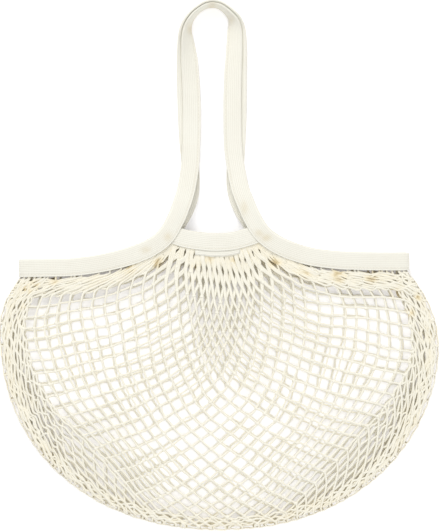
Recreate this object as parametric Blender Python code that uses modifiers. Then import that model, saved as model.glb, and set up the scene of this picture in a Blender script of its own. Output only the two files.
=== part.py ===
"""Net shopping bag with a long doubled shoulder handle, lying flat on a surface.

The bag is a closed bag of open net. Two short tapes bind the gathered net at the
middle of the mouth, front and back. One long tape, folded lengthwise over the net's
edge, binds the two sides of the mouth and runs on as the front and the back handle.

X is the bag's width, Y runs from the bag's bottom to the handles' top, and Z is up
from the surface. The origin is the middle of the mouth, on the surface.
"""

import math

import bmesh
import bpy
import numpy as np
from mathutils import Vector

MM = 0.001
SHARP_ANGLE = math.radians(50.0)

# Net, in millimetres, with the number of its gaps from one side to the other
NET_THICK = 1.6
CORD_WIDTH = 4.2
SMALLEST_GAP = 8.2
CELLS = 14
TAPE_CELLS = 6
BACK_SHIFT_FADE = 0.12
HEM_IN_TAPE = 7.0
HEM_BELOW_TAPE = 1.5
MIDDLE_TRIM_Y = 1.5
MIDDLE_ENTRY_Y = -11.5
GATHERED_DEPTH = 24.0
GATHERED_HALF_WIDTH = 52.0

# Outline of the laid bag, in millimetres
HALF_WIDTH = 219.5
WIDEST_Y = -91.0
DEPTH_BELOW = 197.5
DEPTH_ABOVE = 132.0
ROUNDNESS_BELOW = 2.15
MOUTH_END_ANGLE = math.radians(107.0)
MOUTH_END_BLEND = 0.25
OUTLINE_STEPS = 200
LEFT_END_X = -196.0
RIGHT_END_X = 184.0

# Share of the net's own width that is crowded into the rim and lies along a side tape
RIM_SHARE = 0.085
TAPE_SHARE = RIM_SHARE + (1 - RIM_SHARE) * TAPE_CELLS / CELLS
RIM_WIDTH = 26.0

# Where the long tape leaves the net, and the point at which the gathered cords aim
LEFT_JOIN = (-46.0, -7.5)
RIGHT_JOIN = (42.0, -6.5)
GATHER_POINT = (-3.0, 90.0)
JOIN_HALF_LENGTH = 12.0
JOIN_FADE = 22.0

# Tape, in millimetres
TAPE_WIDTH = 18.0
TAPE_THICK = 0.8
CLEARANCE = 0.3
NET_SLOT = NET_THICK + 2 * CLEARANCE
BOUND_THICK = NET_SLOT + 2 * TAPE_THICK
JOIN_SLOT = BOUND_THICK + 2 * CLEARANCE
HANDLE_SLOT = 0.5
HANDLE_GAP = 1.1
HANDLE_LIFT = 0.15
TAPE_STEP = 10.0
FOLD_TURNS = (45.0, 90.0, 135.0)

# Heights of the two layers' middle planes, in millimetres
BACK_NET_Z = NET_THICK / 2
FRONT_NET_Z = 9.6
FRONT_RIM_Z = 6.4
RIM_SLOPE_LENGTH = 70.0
FRONT_MOUTH_END_Z = 8.8
FRONT_MOUTH_RISE = 3.0
MOUTH_ARCH_LENGTH = 420.0
BACK_LAYER_DROP = 4.0
BACK_DROP_HALF_WIDTH = 150.0
SETTLE_LENGTH = 30.0
GATHER_HEIGHT = 0.7
GATHER_START = 12.0
GATHER_LENGTH = 70.0
GATHER_HALF_WIDTH = 90.0
GATHER_PITCH = 20.4
WAVE_HEIGHT = 0.5
WAVE_LENGTH = 95.0

# Lower edge of the tapes along the mouth: x, y
MOUTH_EDGE = (
    (-203.0, -36.0),
    (-160.0, -35.5),
    (-136.0, -33.5),
    (-112.0, -30.0),
    (-90.0, -24.0),
    (-70.0, -17.5),
    (-55.0, -11.0),
    (-44.0, -6.0),
    (-36.0, -6.6),
    (-27.0, -8.4),
    (-9.0, -10.0),
    (1.0, -10.0),
    (12.0, -9.0),
    (22.0, -6.6),
    (34.0, -3.4),
    (41.0, -4.4),
    (48.0, -9.0),
    (63.0, -16.5),
    (90.0, -24.5),
    (117.0, -27.8),
    (152.0, -29.3),
    (191.0, -29.3),
)

# Middle line of the long tape's front half, from the left end of the mouth over the
# handle to the right end: x, y, roll in degrees, shift of the back handle, and how much
# of it belongs to the mouth
LONG_TAPE = (
    (LEFT_END_X, -27.0, 0.0, 0.0, 1.0),
    (-176.0, -26.8, 0.0, 0.0, 1.0),
    (-152.0, -26.4, 0.0, 0.0, 1.0),
    (-128.0, -23.8, 0.0, 0.0, 1.0),
    (-104.0, -19.0, 0.0, 0.0, 1.0),
    (-82.0, -12.3, 0.0, 0.0, 1.0),
    (-65.5, -4.5, 0.0, 0.0, 1.0),
    (-53.5, 6.0, 0.0, 0.0, 1.0),
    (-45.0, 20.0, 0.0, -1.5, 0.95),
    (-38.5, 36.0, 0.0, -4.0, 0.75),
    (-33.5, 53.0, 0.0, -4.0, 0.4),
    (-29.8, 76.0, 0.0, 0.0, 0.1),
    (-28.5, 101.0, 0.0, 3.5, 0.0),
    (-28.2, 126.0, 3.0, 5.0, 0.0),
    (-28.8, 151.0, 10.0, 5.0, 0.0),
    (-29.8, 168.0, 18.0, 4.5, 0.0),
    (-30.3, 175.0, 23.0, 4.0, 0.0),
    (-30.8, 181.5, 28.5, 3.8, 0.0),
    (-31.3, 188.0, 35.0, 3.6, 0.0),
    (-32.0, 195.0, 43.5, 3.3, 0.0),
    (-32.8, 203.0, 54.0, 3.0, 0.0),
    (-32.8, 211.0, 66.0, 2.5, 0.0),
    (-30.6, 218.5, 75.0, 2.0, 0.0),
    (-26.2, 225.5, 81.0, 1.5, 0.0),
    (-20.0, 231.0, 84.0, 1.0, 0.0),
    (-13.5, 234.7, 84.0, 1.0, 0.0),
    (-6.5, 235.7, 84.0, 1.0, 0.0),
    (0.0, 234.0, 82.0, 1.0, 0.0),
    (6.0, 229.8, 79.0, 1.5, 0.0),
    (11.0, 224.3, 72.0, 2.0, 0.0),
    (14.0, 218.0, 56.0, 2.5, 0.0),
    (14.8, 211.0, 42.0, 3.0, 0.0),
    (14.8, 201.0, 34.0, 3.5, 0.0),
    (14.2, 187.0, 26.0, 4.0, 0.0),
    (13.2, 168.0, 16.0, 4.5, 0.0),
    (12.6, 145.0, 8.0, 5.0, 0.0),
    (12.5, 118.0, 0.0, 5.0, 0.0),
    (13.0, 96.0, 0.0, 3.5, 0.0),
    (15.5, 76.0, 0.0, 0.0, 0.1),
    (19.8, 54.0, 0.0, -4.0, 0.4),
    (25.5, 38.0, 0.0, -4.0, 0.75),
    (32.5, 22.5, 0.0, -1.5, 0.95),
    (41.5, 8.5, 0.0, 0.0, 1.0),
    (53.0, -1.0, 0.0, 0.0, 1.0),
    (69.0, -9.0, 0.0, 0.0, 1.0),
    (90.0, -15.5, 0.0, 0.0, 1.0),
    (116.0, -18.8, 0.0, 0.0, 1.0),
    (142.0, -20.0, 0.0, 0.0, 1.0),
    (166.0, -20.3, 0.0, 0.0, 1.0),
    (RIGHT_END_X, -20.3, 0.0, 0.0, 1.0),
)

# Middle line of the front middle tape: x, y
MIDDLE_TAPE = (
    (-47.0, 6.5),
    (-36.0, 2.8),
    (-26.0, 0.7),
    (-9.0, -0.9),
    (1.0, -1.0),
    (12.0, -0.2),
    (22.0, 2.2),
    (34.0, 6.3),
    (43.0, 10.5),
)


def remove_everything():
    """Empties the file of objects."""
    for obj in list(bpy.data.objects):
        bpy.data.objects.remove(obj, do_unlink=True)


def smooth_step(t):
    """0 below 0, 1 above 1, and a soft rise between."""
    t = min(max(t, 0.0), 1.0)
    return t * t * (3 - 2 * t)


def bump(offset, width):
    """1 at offset 0, falling softly to 0 at either side of it."""
    return 1 - smooth_step(abs(offset) / width)


def curve_through(rows, step):
    """Points along a smooth curve through the rows, about a step apart."""
    rows = np.array(rows, float)
    ends = np.vstack([2 * rows[0] - rows[1], rows, 2 * rows[-1] - rows[-2]])
    points = []
    for k in range(len(rows) - 1):
        p0, p1, p2, p3 = ends[k : k + 4]
        count = max(1, round(float(np.linalg.norm((p2 - p1)[:2])) / step))
        for t in np.arange(count) / count:
            points.append(
                0.5
                * (
                    2 * p1
                    + (p2 - p0) * t
                    + (2 * p0 - 5 * p1 + 4 * p2 - p3) * t**2
                    + (3 * p1 - p0 - 3 * p2 + p3) * t**3
                )
            )
    points.append(rows[-1])
    return np.array(points)


MOUTH_LINE = curve_through(MOUTH_EDGE, 2.0)


def mouth_edge_y(x):
    """Height in the plan of the tapes' lower edge at x."""
    return float(np.interp(x, MOUTH_LINE[:, 0], MOUTH_LINE[:, 1]))


def back_drop(x):
    """How far the back layer's mouth lies below the front one's, in the plan."""
    return BACK_LAYER_DROP * bump(x, BACK_DROP_HALF_WIDTH)


def mouth_slot(x):
    """Width of the long tape's slot along the mouth: wider where a middle tape enters."""
    near = min(abs(x - LEFT_JOIN[0]), abs(x - RIGHT_JOIN[0]))
    return NET_SLOT + (JOIN_SLOT - NET_SLOT) * bump(max(near - JOIN_HALF_LENGTH, 0.0), JOIN_FADE)


def mouth_z(x, front):
    """Height of a layer's middle plane along the mouth."""
    if front:
        arch = math.cos(math.pi * x / MOUTH_ARCH_LENGTH) ** 2
        return FRONT_MOUTH_END_Z + FRONT_MOUTH_RISE * arch
    return mouth_slot(x) / 2 + TAPE_THICK


def rim_distance(x, y):
    """About how far a point of the plan lies inside the bag's outline."""
    down = WIDEST_Y - y
    power, depth = (ROUNDNESS_BELOW, DEPTH_BELOW) if down > 0 else (2.0, DEPTH_ABOVE)
    share = (abs(x / HALF_WIDTH) ** power + abs(down / depth) ** power) ** (1 / power)
    return (1 - share) * HALF_WIDTH


def net_z(x, y, front):
    """Height of a net layer's middle plane: level with the tape's slot at the mouth,
    gathered below the middle tape, and settled lower down."""
    below = mouth_edge_y(x) - y
    settled = smooth_step(below / SETTLE_LENGTH)
    if not front:
        return mouth_z(x, front) + (BACK_NET_Z - mouth_z(x, front)) * settled
    fade = smooth_step(below / GATHER_START) * bump(below, GATHER_LENGTH)
    fade *= bump(x, GATHER_HALF_WIDTH)
    gather = GATHER_HEIGHT * fade * math.cos(2 * math.pi * x / GATHER_PITCH)
    wave = math.sin(2 * math.pi * x / WAVE_LENGTH) * math.cos(2 * math.pi * y / WAVE_LENGTH)
    inward = smooth_step(rim_distance(x, y) / RIM_SLOPE_LENGTH)
    body = FRONT_RIM_Z + (FRONT_NET_Z - FRONT_RIM_Z + WAVE_HEIGHT * wave) * inward
    return mouth_z(x, front) + (body - mouth_z(x, front)) * settled + gather


def rim_xy(share, side):
    """A point of the net's outline: share 0 is the bottom's middle and 1 is the mouth's
    end; side is -1 for the left half and 1 for the right."""
    angles = np.linspace(0.0, MOUTH_END_ANGLE, OUTLINE_STEPS)
    sine, cosine = np.sin(angles), np.cos(angles)
    power = np.where(cosine >= 0, ROUNDNESS_BELOW, 2.0)
    depth = np.where(cosine >= 0, DEPTH_BELOW, DEPTH_ABOVE)
    inset = (FRONT_RIM_Z - BACK_NET_Z) / 2
    radius = ((sine / HALF_WIDTH) ** power + (np.abs(cosine) / depth) ** power) ** (-1 / power)
    radius = radius - inset
    x, y = radius * sine, WIDEST_Y - radius * cosine
    length = np.concatenate([[0.0], np.cumsum(np.hypot(np.diff(x), np.diff(y)))])
    along = share * length[-1]
    return np.array([side * np.interp(along, length, x), np.interp(along, length, y)])


def mouth_xy(share, side, front):
    """A point of the net's upper edge: share 0 is the mouth's end, TAPE_SHARE is where
    the long tape leaves it, and from there on it aims at the gather point."""
    end_x = RIGHT_END_X if side > 0 else LEFT_END_X
    join = RIGHT_JOIN if side > 0 else LEFT_JOIN
    if share > TAPE_SHARE:
        aim = (share - TAPE_SHARE) / (1 - TAPE_SHARE)
        x, y = (1 - aim) * np.array(join) + aim * np.array(GATHER_POINT)
    else:
        stops = (0.0, RIM_SHARE, TAPE_SHARE)
        x = float(np.interp(share, stops, (end_x, end_x - side * RIM_WIDTH, join[0])))
        y = mouth_edge_y(x) - HEM_BELOW_TAPE
    return np.array([x, y if front else y - back_drop(x)])


def rim_to_mouth(share, side, front):
    """A point of the rim, led to the mouth's end over its last stretch."""
    reach = mouth_xy(0.0, side, front) - rim_xy(1.0, side)
    return rim_xy(share, side) + reach * smooth_step((share - 1) / MOUTH_END_BLEND + 1)


def back_shift(a, b):
    """Share by which the back layer's lines lie off the front's: half a gap, but none at
    the rim and the mouth."""
    shift = (1 - RIM_SHARE) / CELLS / 2
    for share in (a, b):
        shift *= smooth_step(share / BACK_SHIFT_FADE) * smooth_step((1 - share) / BACK_SHIFT_FADE)
    return shift


def net_xy(a, b, front):
    """Place in the plan of the crossing of two families of cords. a runs from the left
    rim to the middle of the mouth, and b from the right rim to the same place."""
    shift = 0.0 if front else back_shift(a, b)
    a, b = a + shift, b + shift
    left_end, right_end = mouth_xy(0.0, -1, front), mouth_xy(0.0, 1, front)
    middle, bottom = mouth_xy(1.0, 1, front), rim_xy(0.0, 1)
    sides = (
        (1 - a) * rim_to_mouth(b, -1, front)
        + a * mouth_xy(b, 1, front)
        + (1 - b) * rim_to_mouth(a, 1, front)
        + b * mouth_xy(a, -1, front)
    )
    corners = (
        (1 - a) * (1 - b) * bottom
        + a * (1 - b) * right_end
        + (1 - a) * b * left_end
        + a * b * middle
    )
    return sides - corners


def grid_share(k):
    """Where the net's line k lies: 0 is the rim, and CELLS + 1 is the far end."""
    if k == 0:
        return 0.0
    return RIM_SHARE + (1 - RIM_SHARE) * (k - 1) / CELLS


def new_object(name, bm, collection, material):
    """Makes a smoothly shaded object from a bmesh."""
    mesh = bpy.data.meshes.new(name)
    bm.to_mesh(mesh)
    bm.free()
    mesh.shade_smooth()
    mesh.set_sharp_from_angle(angle=SHARP_ANGLE)
    obj = bpy.data.objects.new(name, mesh)
    obj.data.materials.append(material)
    collection.objects.link(obj)
    return obj


def give_thickness(obj, thickness):
    """Turns an open sheet into a closed solid of that thickness, in millimetres."""
    solidify = obj.modifiers.new("thickness", "SOLIDIFY")
    solidify.thickness = thickness * MM
    solidify.offset = 0.0
    solidify.use_even_offset = False


def cotton(name, colour, roughness):
    """Cotton finish."""
    material = bpy.data.materials.new(name)
    material.use_nodes = True
    shader = material.node_tree.nodes["Principled BSDF"]
    shader.inputs["Base Color"].default_value = (*colour, 1.0)
    shader.inputs["Roughness"].default_value = roughness
    shader.inputs["Metallic"].default_value = 0.0
    return material


def add_net_layer(bm, front):
    """Adds one layer of the net: lays it out in the plan, opens its gaps, finishes its
    upper edge and lifts it to its height. Returns its rim vertices from the mouth's left
    end round the bottom to the right end."""
    other_layer = set(bm.verts) | set(bm.edges) | set(bm.faces)
    last = CELLS + 1
    made = bmesh.ops.create_grid(bm, x_segments=last, y_segments=last, size=0.5)
    placed = {}
    for vert in made["verts"]:
        i, j = round((vert.co.x + 0.5) * last), round((vert.co.y + 0.5) * last)
        vert.co = Vector((*net_xy(grid_share(i), grid_share(j), front), 0.0)) * MM
        placed[i, j] = vert
    cut_gaps(bm, placed, front)
    add_hem(bm, [placed[i, last] for i in range(TAPE_CELLS + 2)])
    add_hem(bm, [placed[last, j] for j in range(TAPE_CELLS + 2)])
    trim_gathered_edge(bm, other_layer, front)
    for vert in bm.verts:
        if vert not in other_layer:
            vert.co.z = net_z(vert.co.x / MM, vert.co.y / MM, front) * MM
    return [placed[0, j] for j in range(last, 0, -1)] + [placed[i, 0] for i in range(last + 1)]


def cut_gaps(bm, placed, front):
    """Opens the gaps of one layer that are wide enough, leaving a cord round each."""
    open_cells = []
    for (i, j), corner in placed.items():
        if min(i, j) == 0 or max(i, j) > CELLS:
            continue
        face = next(f for f in corner.link_faces if placed[i + 1, j + 1] in f.verts)
        across = face.calc_area() / max(edge.calc_length() for edge in face.edges)
        if across > (CORD_WIDTH + SMALLEST_GAP) * MM and not is_gathered(face, front):
            open_cells.append(face)
    bmesh.ops.inset_individual(
        bm, faces=open_cells, thickness=CORD_WIDTH / 2 * MM, use_even_offset=True
    )
    bmesh.ops.delete(bm, geom=open_cells, context="FACES")


def is_gathered(face, front):
    """Whether a face lies in the crowded net below the middle tape."""
    middle = face.calc_center_median() / MM
    if abs(middle.x - GATHER_POINT[0]) > GATHERED_HALF_WIDTH:
        return False
    drop = 0.0 if front else back_drop(middle.x)
    return mouth_edge_y(middle.x) - drop - middle.y < GATHERED_DEPTH


def add_hem(bm, verts):
    """Runs the net's upper edge on into a side tape."""
    edges = [bm.edges.get(pair) for pair in zip(verts, verts[1:])]
    made = bmesh.ops.extrude_edge_only(bm, edges=edges)["geom"]
    raised = [g for g in made if isinstance(g, bmesh.types.BMVert)]
    bmesh.ops.translate(bm, verts=raised, vec=Vector((0.0, HEM_BELOW_TAPE + HEM_IN_TAPE, 0.0)) * MM)


def trim_gathered_edge(bm, other_layer, front):
    """Cuts the gathered net off inside the middle tape, and creases it where it enters."""
    drop = 0.0 if front else BACK_LAYER_DROP
    for level, cut_off in ((MIDDLE_TRIM_Y, True), (MIDDLE_ENTRY_Y, False)):
        everything = (*bm.verts, *bm.edges, *bm.faces)
        bmesh.ops.bisect_plane(
            bm,
            geom=[part for part in everything if part not in other_layer],
            plane_co=Vector((0.0, level - drop, 0.0)) * MM,
            plane_no=(0.0, 1.0, 0.0),
            clear_outer=cut_off,
        )


def rim_outward(rim, k):
    """Direction in the plan that points out of the bag at rim point k."""
    if k in (0, len(rim) - 1):
        return Vector((-1.0 if k == 0 else 1.0, 0.0, 0.0))
    along = rim[k + 1] - rim[k - 1]
    return Vector((along.y, -along.x, 0.0)).normalized()


def fold_rim(bm, front_rim, back_rim):
    """Folds the net round the rim, from the front layer down to the back one."""
    top = [vert.co.copy() for vert in front_rim]
    low = [vert.co.copy() for vert in back_rim]
    edges = [bm.edges.get(pair) for pair in zip(front_rim, front_rim[1:])]
    row = {vert: k for k, vert in enumerate(front_rim)}
    for turn in (*FOLD_TURNS, 180.0):
        made = bmesh.ops.extrude_edge_only(bm, edges=edges)["geom"]
        edges = [part for part in made if isinstance(part, bmesh.types.BMEdge)]
        fresh = {}
        for vert in (part for part in made if isinstance(part, bmesh.types.BMVert)):
            source = next(e.other_vert(vert) for e in vert.link_edges if e.other_vert(vert) in row)
            fresh[vert] = row[source]
        for vert, k in fresh.items():
            radius = (top[k] - low[k]) / 2
            swing = math.radians(turn)
            out = rim_outward(top, k) * radius.length * math.sin(swing)
            vert.co = (top[k] + low[k]) / 2 + radius * math.cos(swing) + out
        row = fresh
    bmesh.ops.remove_doubles(bm, verts=bm.verts, dist=0.01 * MM)


def build_net(collection, material):
    """The net bag: two layers, folded round the rim, with its upper edge in the tapes."""
    bm = bmesh.new()
    back_rim = add_net_layer(bm, False)
    front_rim = add_net_layer(bm, True)
    fold_rim(bm, front_rim, back_rim)
    bmesh.ops.recalc_face_normals(bm, faces=bm.faces)
    obj = new_object("net_bag", bm, collection, material)
    give_thickness(obj, NET_THICK)


def fold_profile(slot):
    """Middle surface of a tape folded lengthwise: across from the open edge, and up."""
    half = (slot + TAPE_THICK) / 2
    fold = TAPE_WIDTH / 2 - TAPE_THICK / 2
    leaf = ((-TAPE_WIDTH / 2, half), (fold - half, half), (fold, 0.0))
    return (*leaf, (fold - half, -half), (-TAPE_WIDTH / 2, -half))


def loft(bm, sections, closed):
    """Sweeps a strip through its sections by extruding one after another."""
    verts = [bm.verts.new(Vector(p) * MM) for p in sections[0]]
    edges = [bm.edges.new(pair) for pair in zip(verts, verts[1:])]
    first = verts
    for section in sections[1:]:
        made = bmesh.ops.extrude_edge_only(bm, edges=edges)["geom"]
        fresh = {v for v in made if isinstance(v, bmesh.types.BMVert)}
        following = []
        for vert, point in zip(verts, section):
            new = next(e.other_vert(vert) for e in vert.link_edges if e.other_vert(vert) in fresh)
            new.co = Vector(point) * MM
            following.append(new)
        verts = following
        edges = [bm.edges.get(pair) for pair in zip(verts, verts[1:])]
    if closed:
        last_edges = [bm.edges.get(pair) for pair in zip(verts, verts[1:])]
        first_edges = [bm.edges.get(pair) for pair in zip(first, first[1:])]
        bmesh.ops.bridge_loops(bm, edges=first_edges + last_edges)
    bmesh.ops.recalc_face_normals(bm, faces=bm.faces)


def tape_section(place, across, up, slot):
    """Places a folded profile at a point of the tape's middle line."""
    return [place + across * w + up * h for w, h in fold_profile(slot)]


def long_tape_line():
    """The long tape's middle line, front and back: for each station its place, the
    direction to its folded edge and its slot."""
    rows = curve_through(LONG_TAPE, TAPE_STEP)
    up = np.array([0.0, 0.0, 1.0])
    front, back = [], []
    for k, (x, y, roll, shift, share) in enumerate(rows):
        before, after = rows[max(k - 1, 0)], rows[min(k + 1, len(rows) - 1)]
        along = np.array([after[0] - before[0], after[1] - before[1], 0.0])
        along /= np.linalg.norm(along)
        outward = np.array([-along[1], along[0], 0.0])
        if k in (0, len(rows) - 1):
            outward = np.array([0.0, 1.0, 0.0])
        sine, cosine = math.sin(math.radians(roll)), math.cos(math.radians(roll))
        across = cosine * outward + sine * up
        face = cosine * up - sine * outward
        slot = share * mouth_slot(x) + (1 - share) * HANDLE_SLOT
        thick = slot + 2 * TAPE_THICK
        apart = thick + HANDLE_GAP
        rise = apart * cosine - shift * sine
        lowest = TAPE_WIDTH / 2 * sine + thick / 2 * cosine + (1 - share) * HANDLE_LIFT
        place = np.array([x, y, lowest + max(0.0, rise)])
        behind = place - apart * face + shift * across
        behind[1] -= share * back_drop(x)
        place[2] += share * (mouth_z(x, True) - place[2])
        front.append((place, across, slot))
        back.append((behind, across, slot))
    return front, back


def mouth_end(front_station, back_station, side):
    """The long tape's turn from the front of the mouth to the back."""
    top, across, slot = front_station
    low = back_station[0]
    middle, radius = (top + low) / 2, (top - low) / 2
    out = np.array([side * np.linalg.norm(radius), 0.0, 0.0])
    turns = [math.radians(turn) for turn in FOLD_TURNS]
    return [(middle + radius * math.cos(t) + out * math.sin(t), across, slot) for t in turns]


def build_long_tape(collection, material):
    """The long tape: both sides of the mouth and both handles, in one closed loop."""
    front, back = long_tape_line()
    right = mouth_end(front[-1], back[-1], 1)
    left = mouth_end(front[0], back[0], -1)
    stations = front + right + back[::-1] + left[::-1]
    count = len(stations)
    sections = []
    for k, (place, across, slot) in enumerate(stations):
        along = stations[(k + 1) % count][0] - stations[k - 1][0]
        along /= np.linalg.norm(along)
        up = np.cross(along, across)
        up /= np.linalg.norm(up)
        sections.append(tape_section(place, across, up, slot))
    bm = bmesh.new()
    loft(bm, sections, True)
    obj = new_object("long_tape", bm, collection, material)
    give_thickness(obj, TAPE_THICK)


def build_middle_tape(name, front, collection, material):
    """A short tape that binds the gathered net between the handle's legs."""
    rows = curve_through(MIDDLE_TAPE, TAPE_STEP)
    sections = []
    for k, (x, y) in enumerate(rows):
        before, after = rows[max(k - 1, 0)], rows[min(k + 1, len(rows) - 1)]
        along = np.array([after[0] - before[0], after[1] - before[1], 0.0])
        along /= np.linalg.norm(along)
        across = np.array([-along[1], along[0], 0.0])
        up = np.array([0.0, 0.0, 1.0])
        drop = 0.0 if front else back_drop(x)
        place = np.array([x, y - drop, mouth_z(x, front)])
        sections.append(tape_section(place, across, up, NET_SLOT))
    bm = bmesh.new()
    loft(bm, sections, False)
    obj = new_object(name, bm, collection, material)
    give_thickness(obj, TAPE_THICK)


def main():
    """Builds the bag."""
    remove_everything()
    collection = bpy.data.collections.new("net_shopping_bag")
    bpy.context.scene.collection.children.link(collection)
    net_cotton = cotton("net_cotton", (0.90, 0.86, 0.74), 0.9)
    tape_cotton = cotton("tape_cotton", (0.92, 0.89, 0.79), 0.85)
    build_net(collection, net_cotton)
    build_long_tape(collection, tape_cotton)
    build_middle_tape("front_middle_tape", True, collection, tape_cotton)
    build_middle_tape("back_middle_tape", False, collection, tape_cotton)


main()
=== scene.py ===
"""Looks of the net shopping bag: its knotted yarn net, ribbed cotton tapes and stitching.

The bag lies flat on a pale floor, seen from straight above. The bag's sizes are in
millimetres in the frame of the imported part: X is the bag's width, Y runs from its bottom to
the handles' top, and Z is up. They become metres where a mesh is made. The lengths of the
finishes and of the studio are in metres.
"""

import logging
import math
from collections.abc import Iterable, Sequence
from dataclasses import dataclass
from enum import Enum
from functools import cached_property

import bmesh
import bpy
import numpy as np
from mathutils import Matrix, Vector, noise

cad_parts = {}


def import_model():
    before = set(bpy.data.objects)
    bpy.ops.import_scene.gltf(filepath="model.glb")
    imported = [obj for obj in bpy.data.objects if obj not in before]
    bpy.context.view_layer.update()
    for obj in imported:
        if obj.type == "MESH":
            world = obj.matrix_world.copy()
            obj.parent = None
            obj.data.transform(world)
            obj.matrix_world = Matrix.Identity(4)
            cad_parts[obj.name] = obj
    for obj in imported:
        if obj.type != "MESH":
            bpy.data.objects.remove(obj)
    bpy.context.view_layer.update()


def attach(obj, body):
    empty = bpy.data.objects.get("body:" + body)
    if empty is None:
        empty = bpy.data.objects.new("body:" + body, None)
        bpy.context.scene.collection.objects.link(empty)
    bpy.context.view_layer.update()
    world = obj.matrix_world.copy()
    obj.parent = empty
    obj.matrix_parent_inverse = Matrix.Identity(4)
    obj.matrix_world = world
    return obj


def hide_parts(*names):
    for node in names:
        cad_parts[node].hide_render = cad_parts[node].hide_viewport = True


MM = 0.001
BODY = "root"
UV_NAME = "weave"
# Name of the mesh attribute that carries painted shade, among crowded strands and in spots on the
# tapes.
PAINTED_SHADE = "painted_shade"
PHOTO_WIDTH = 440.0
PHOTO_HEIGHT = 531.0

# Steps in the noise that keep its uses, and one line, strand or knot from the next, apart
LINE_NOISE_STEP = 0.73
SWING_NOISE_STEP = 1.7
EDGE_NOISE_STEP = 2.3
WIDTH_NOISE_STEP = 3.1
FAMILY_NOISE_STEP = 3
SHARE_NOISE_STEP = 40
QUICK_NOISE_STEP = 5
CROWD_NOISE_STEP = 2
BACK_NOISE_STEP = 9
BILLOW_NOISE_STEP = 2
KNOT_NOISE_STEPS = (1.7, 1.3)

log = logging.getLogger("net_shopping_bag")


class Layer(Enum):
    """A layer of the flat bag."""

    FRONT = "front"
    BACK = "back"

    @property
    def is_front(self) -> bool:
        """Whether this is the upper layer."""
        return self is Layer.FRONT


class Family(Enum):
    """One of the net's two families of strands."""

    FROM_RIGHT_RIM = "from_right_rim"
    FROM_LEFT_RIM = "from_left_rim"


class Slot(Enum):
    """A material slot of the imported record."""

    NET = "net_cotton"
    TAPE = "tape_cotton"


Point = np.ndarray
Pair = tuple[float, float]
Triple = tuple[float, float, float]
Colour = Triple
Socket = bpy.types.NodeSocket
Material = bpy.types.Material
NodeTree = bpy.types.NodeTree


def smooth_step(t: float) -> float:
    """0 below 0, 1 above 1, and a soft rise between."""
    t = min(max(t, 0.0), 1.0)
    return t * t * (3 - 2 * t)


def bump(offset: float, width: float) -> float:
    """1 at offset 0, falling softly to 0 at either side of it."""
    return 1 - smooth_step(abs(offset) / width)


def unit(vector: Point) -> Point:
    """The vector at length 1."""
    return vector / max(float(np.linalg.norm(vector)), 1e-9)


def wander(place: Sequence[float], scale: float, seed: float) -> Vector:
    """Slow, repeatable noise.

    Args:
        place: Where to read it, in millimetres.
        scale: Distance over which it changes.
        seed: Tells one use from another.

    Returns:
        Three values, each from about -1 to 1.
    """
    start = Vector((place[0] / scale, place[1] / scale, seed))
    shifts = (Vector((9.3, -1.5, -8.0)), Vector((0.0, 0.0, 0.0)), Vector((-7.6, 5.7, 3.3)))
    return Vector([noise.noise(start + shift) for shift in shifts])


def noise_at(*place: float) -> float:
    """Repeatable noise at three numbers, from about -1 to 1."""
    return noise.noise(Vector(place))


def curve_through(rows: Sequence[Sequence[float]], step: float) -> np.ndarray:
    """Points along a smooth curve through rows.

    Args:
        rows: The curve's own points, with any values that go with each.
        step: Distance from one point to the next, in the plan.

    Returns:
        The points, with their values, one row each.
    """
    known = np.array(rows, float)
    ends = np.vstack([2 * known[0] - known[1], known, 2 * known[-1] - known[-2]])
    points = []
    for k in range(len(known) - 1):
        p0, p1, p2, p3 = ends[k : k + 4]
        count = max(1, round(float(np.linalg.norm((p2 - p1)[:2])) / step))
        for t in np.arange(count) / count:
            straight = 2 * p1 + (p2 - p0) * t
            bent = (2 * p0 - 5 * p1 + 4 * p2 - p3) * t**2
            points.append(0.5 * (straight + bent + (3 * p1 - p0 - 3 * p2 + p3) * t**3))
    points.append(known[-1])
    return np.array(points)


def lengths_along(points: np.ndarray) -> np.ndarray:
    """The length of a line up to each of its points."""
    steps = np.linalg.norm(np.diff(points, axis=0), axis=1)
    return np.concatenate([[0.0], np.cumsum(steps)])


def evenly_spaced(points: np.ndarray, step: float) -> np.ndarray:
    """The same line with its points about a step apart."""
    length = lengths_along(points)
    wanted = np.linspace(0.0, length[-1], max(3, round(length[-1] / step) + 1))
    return np.column_stack([np.interp(wanted, length, column) for column in points.T])


def left_of(rows: np.ndarray, k: int) -> Point:
    """Direction in the plan square to a route at its row k, to the left of its run."""
    before, after = rows[max(k - 1, 0)], rows[min(k + 1, len(rows) - 1)]
    along = unit(np.array([after[0] - before[0], after[1] - before[1], 0.0]))
    return np.array([-along[1], along[0], 0.0])


def lay_grid(
    sections: Sequence[Sequence[Point]],
    shades: Sequence[Sequence[float]],
    along: Sequence[float],
    across: Sequence[float],
) -> bmesh.types.BMesh:
    """Lays a grid over the cross sections of a yarn or a cloth.

    Args:
        sections: Points of each cross section, in millimetres.
        shades: How far each of these points lies in shade, from 0 to 1.
        along: Length up to each section, for the texture.
        across: Length up to each point of a section, for the texture.

    Returns:
        The grid in metres. Point j of section i is vertex i + j * len(sections).
    """
    count, points = len(sections) - 1, len(sections[0]) - 1
    bm = bmesh.new()
    uv = bm.loops.layers.uv.new(UV_NAME)
    shaded = bm.verts.layers.float.new(PAINTED_SHADE)
    bmesh.ops.create_grid(bm, x_segments=count, y_segments=points, size=0.5, calc_uvs=True)
    bm.verts.ensure_lookup_table()
    for i, section in enumerate(sections):
        for j, point in enumerate(section):
            vert = bm.verts[i + j * (count + 1)]
            vert.co = Vector(point) * MM
            vert[shaded] = shades[i][j]
    for face in bm.faces:
        for loop in face.loops:
            i, j = round(loop[uv].uv.x * count), round(loop[uv].uv.y * points)
            loop[uv].uv = (float(along[i]) * MM, float(across[j]) * MM)
    return bm


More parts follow.
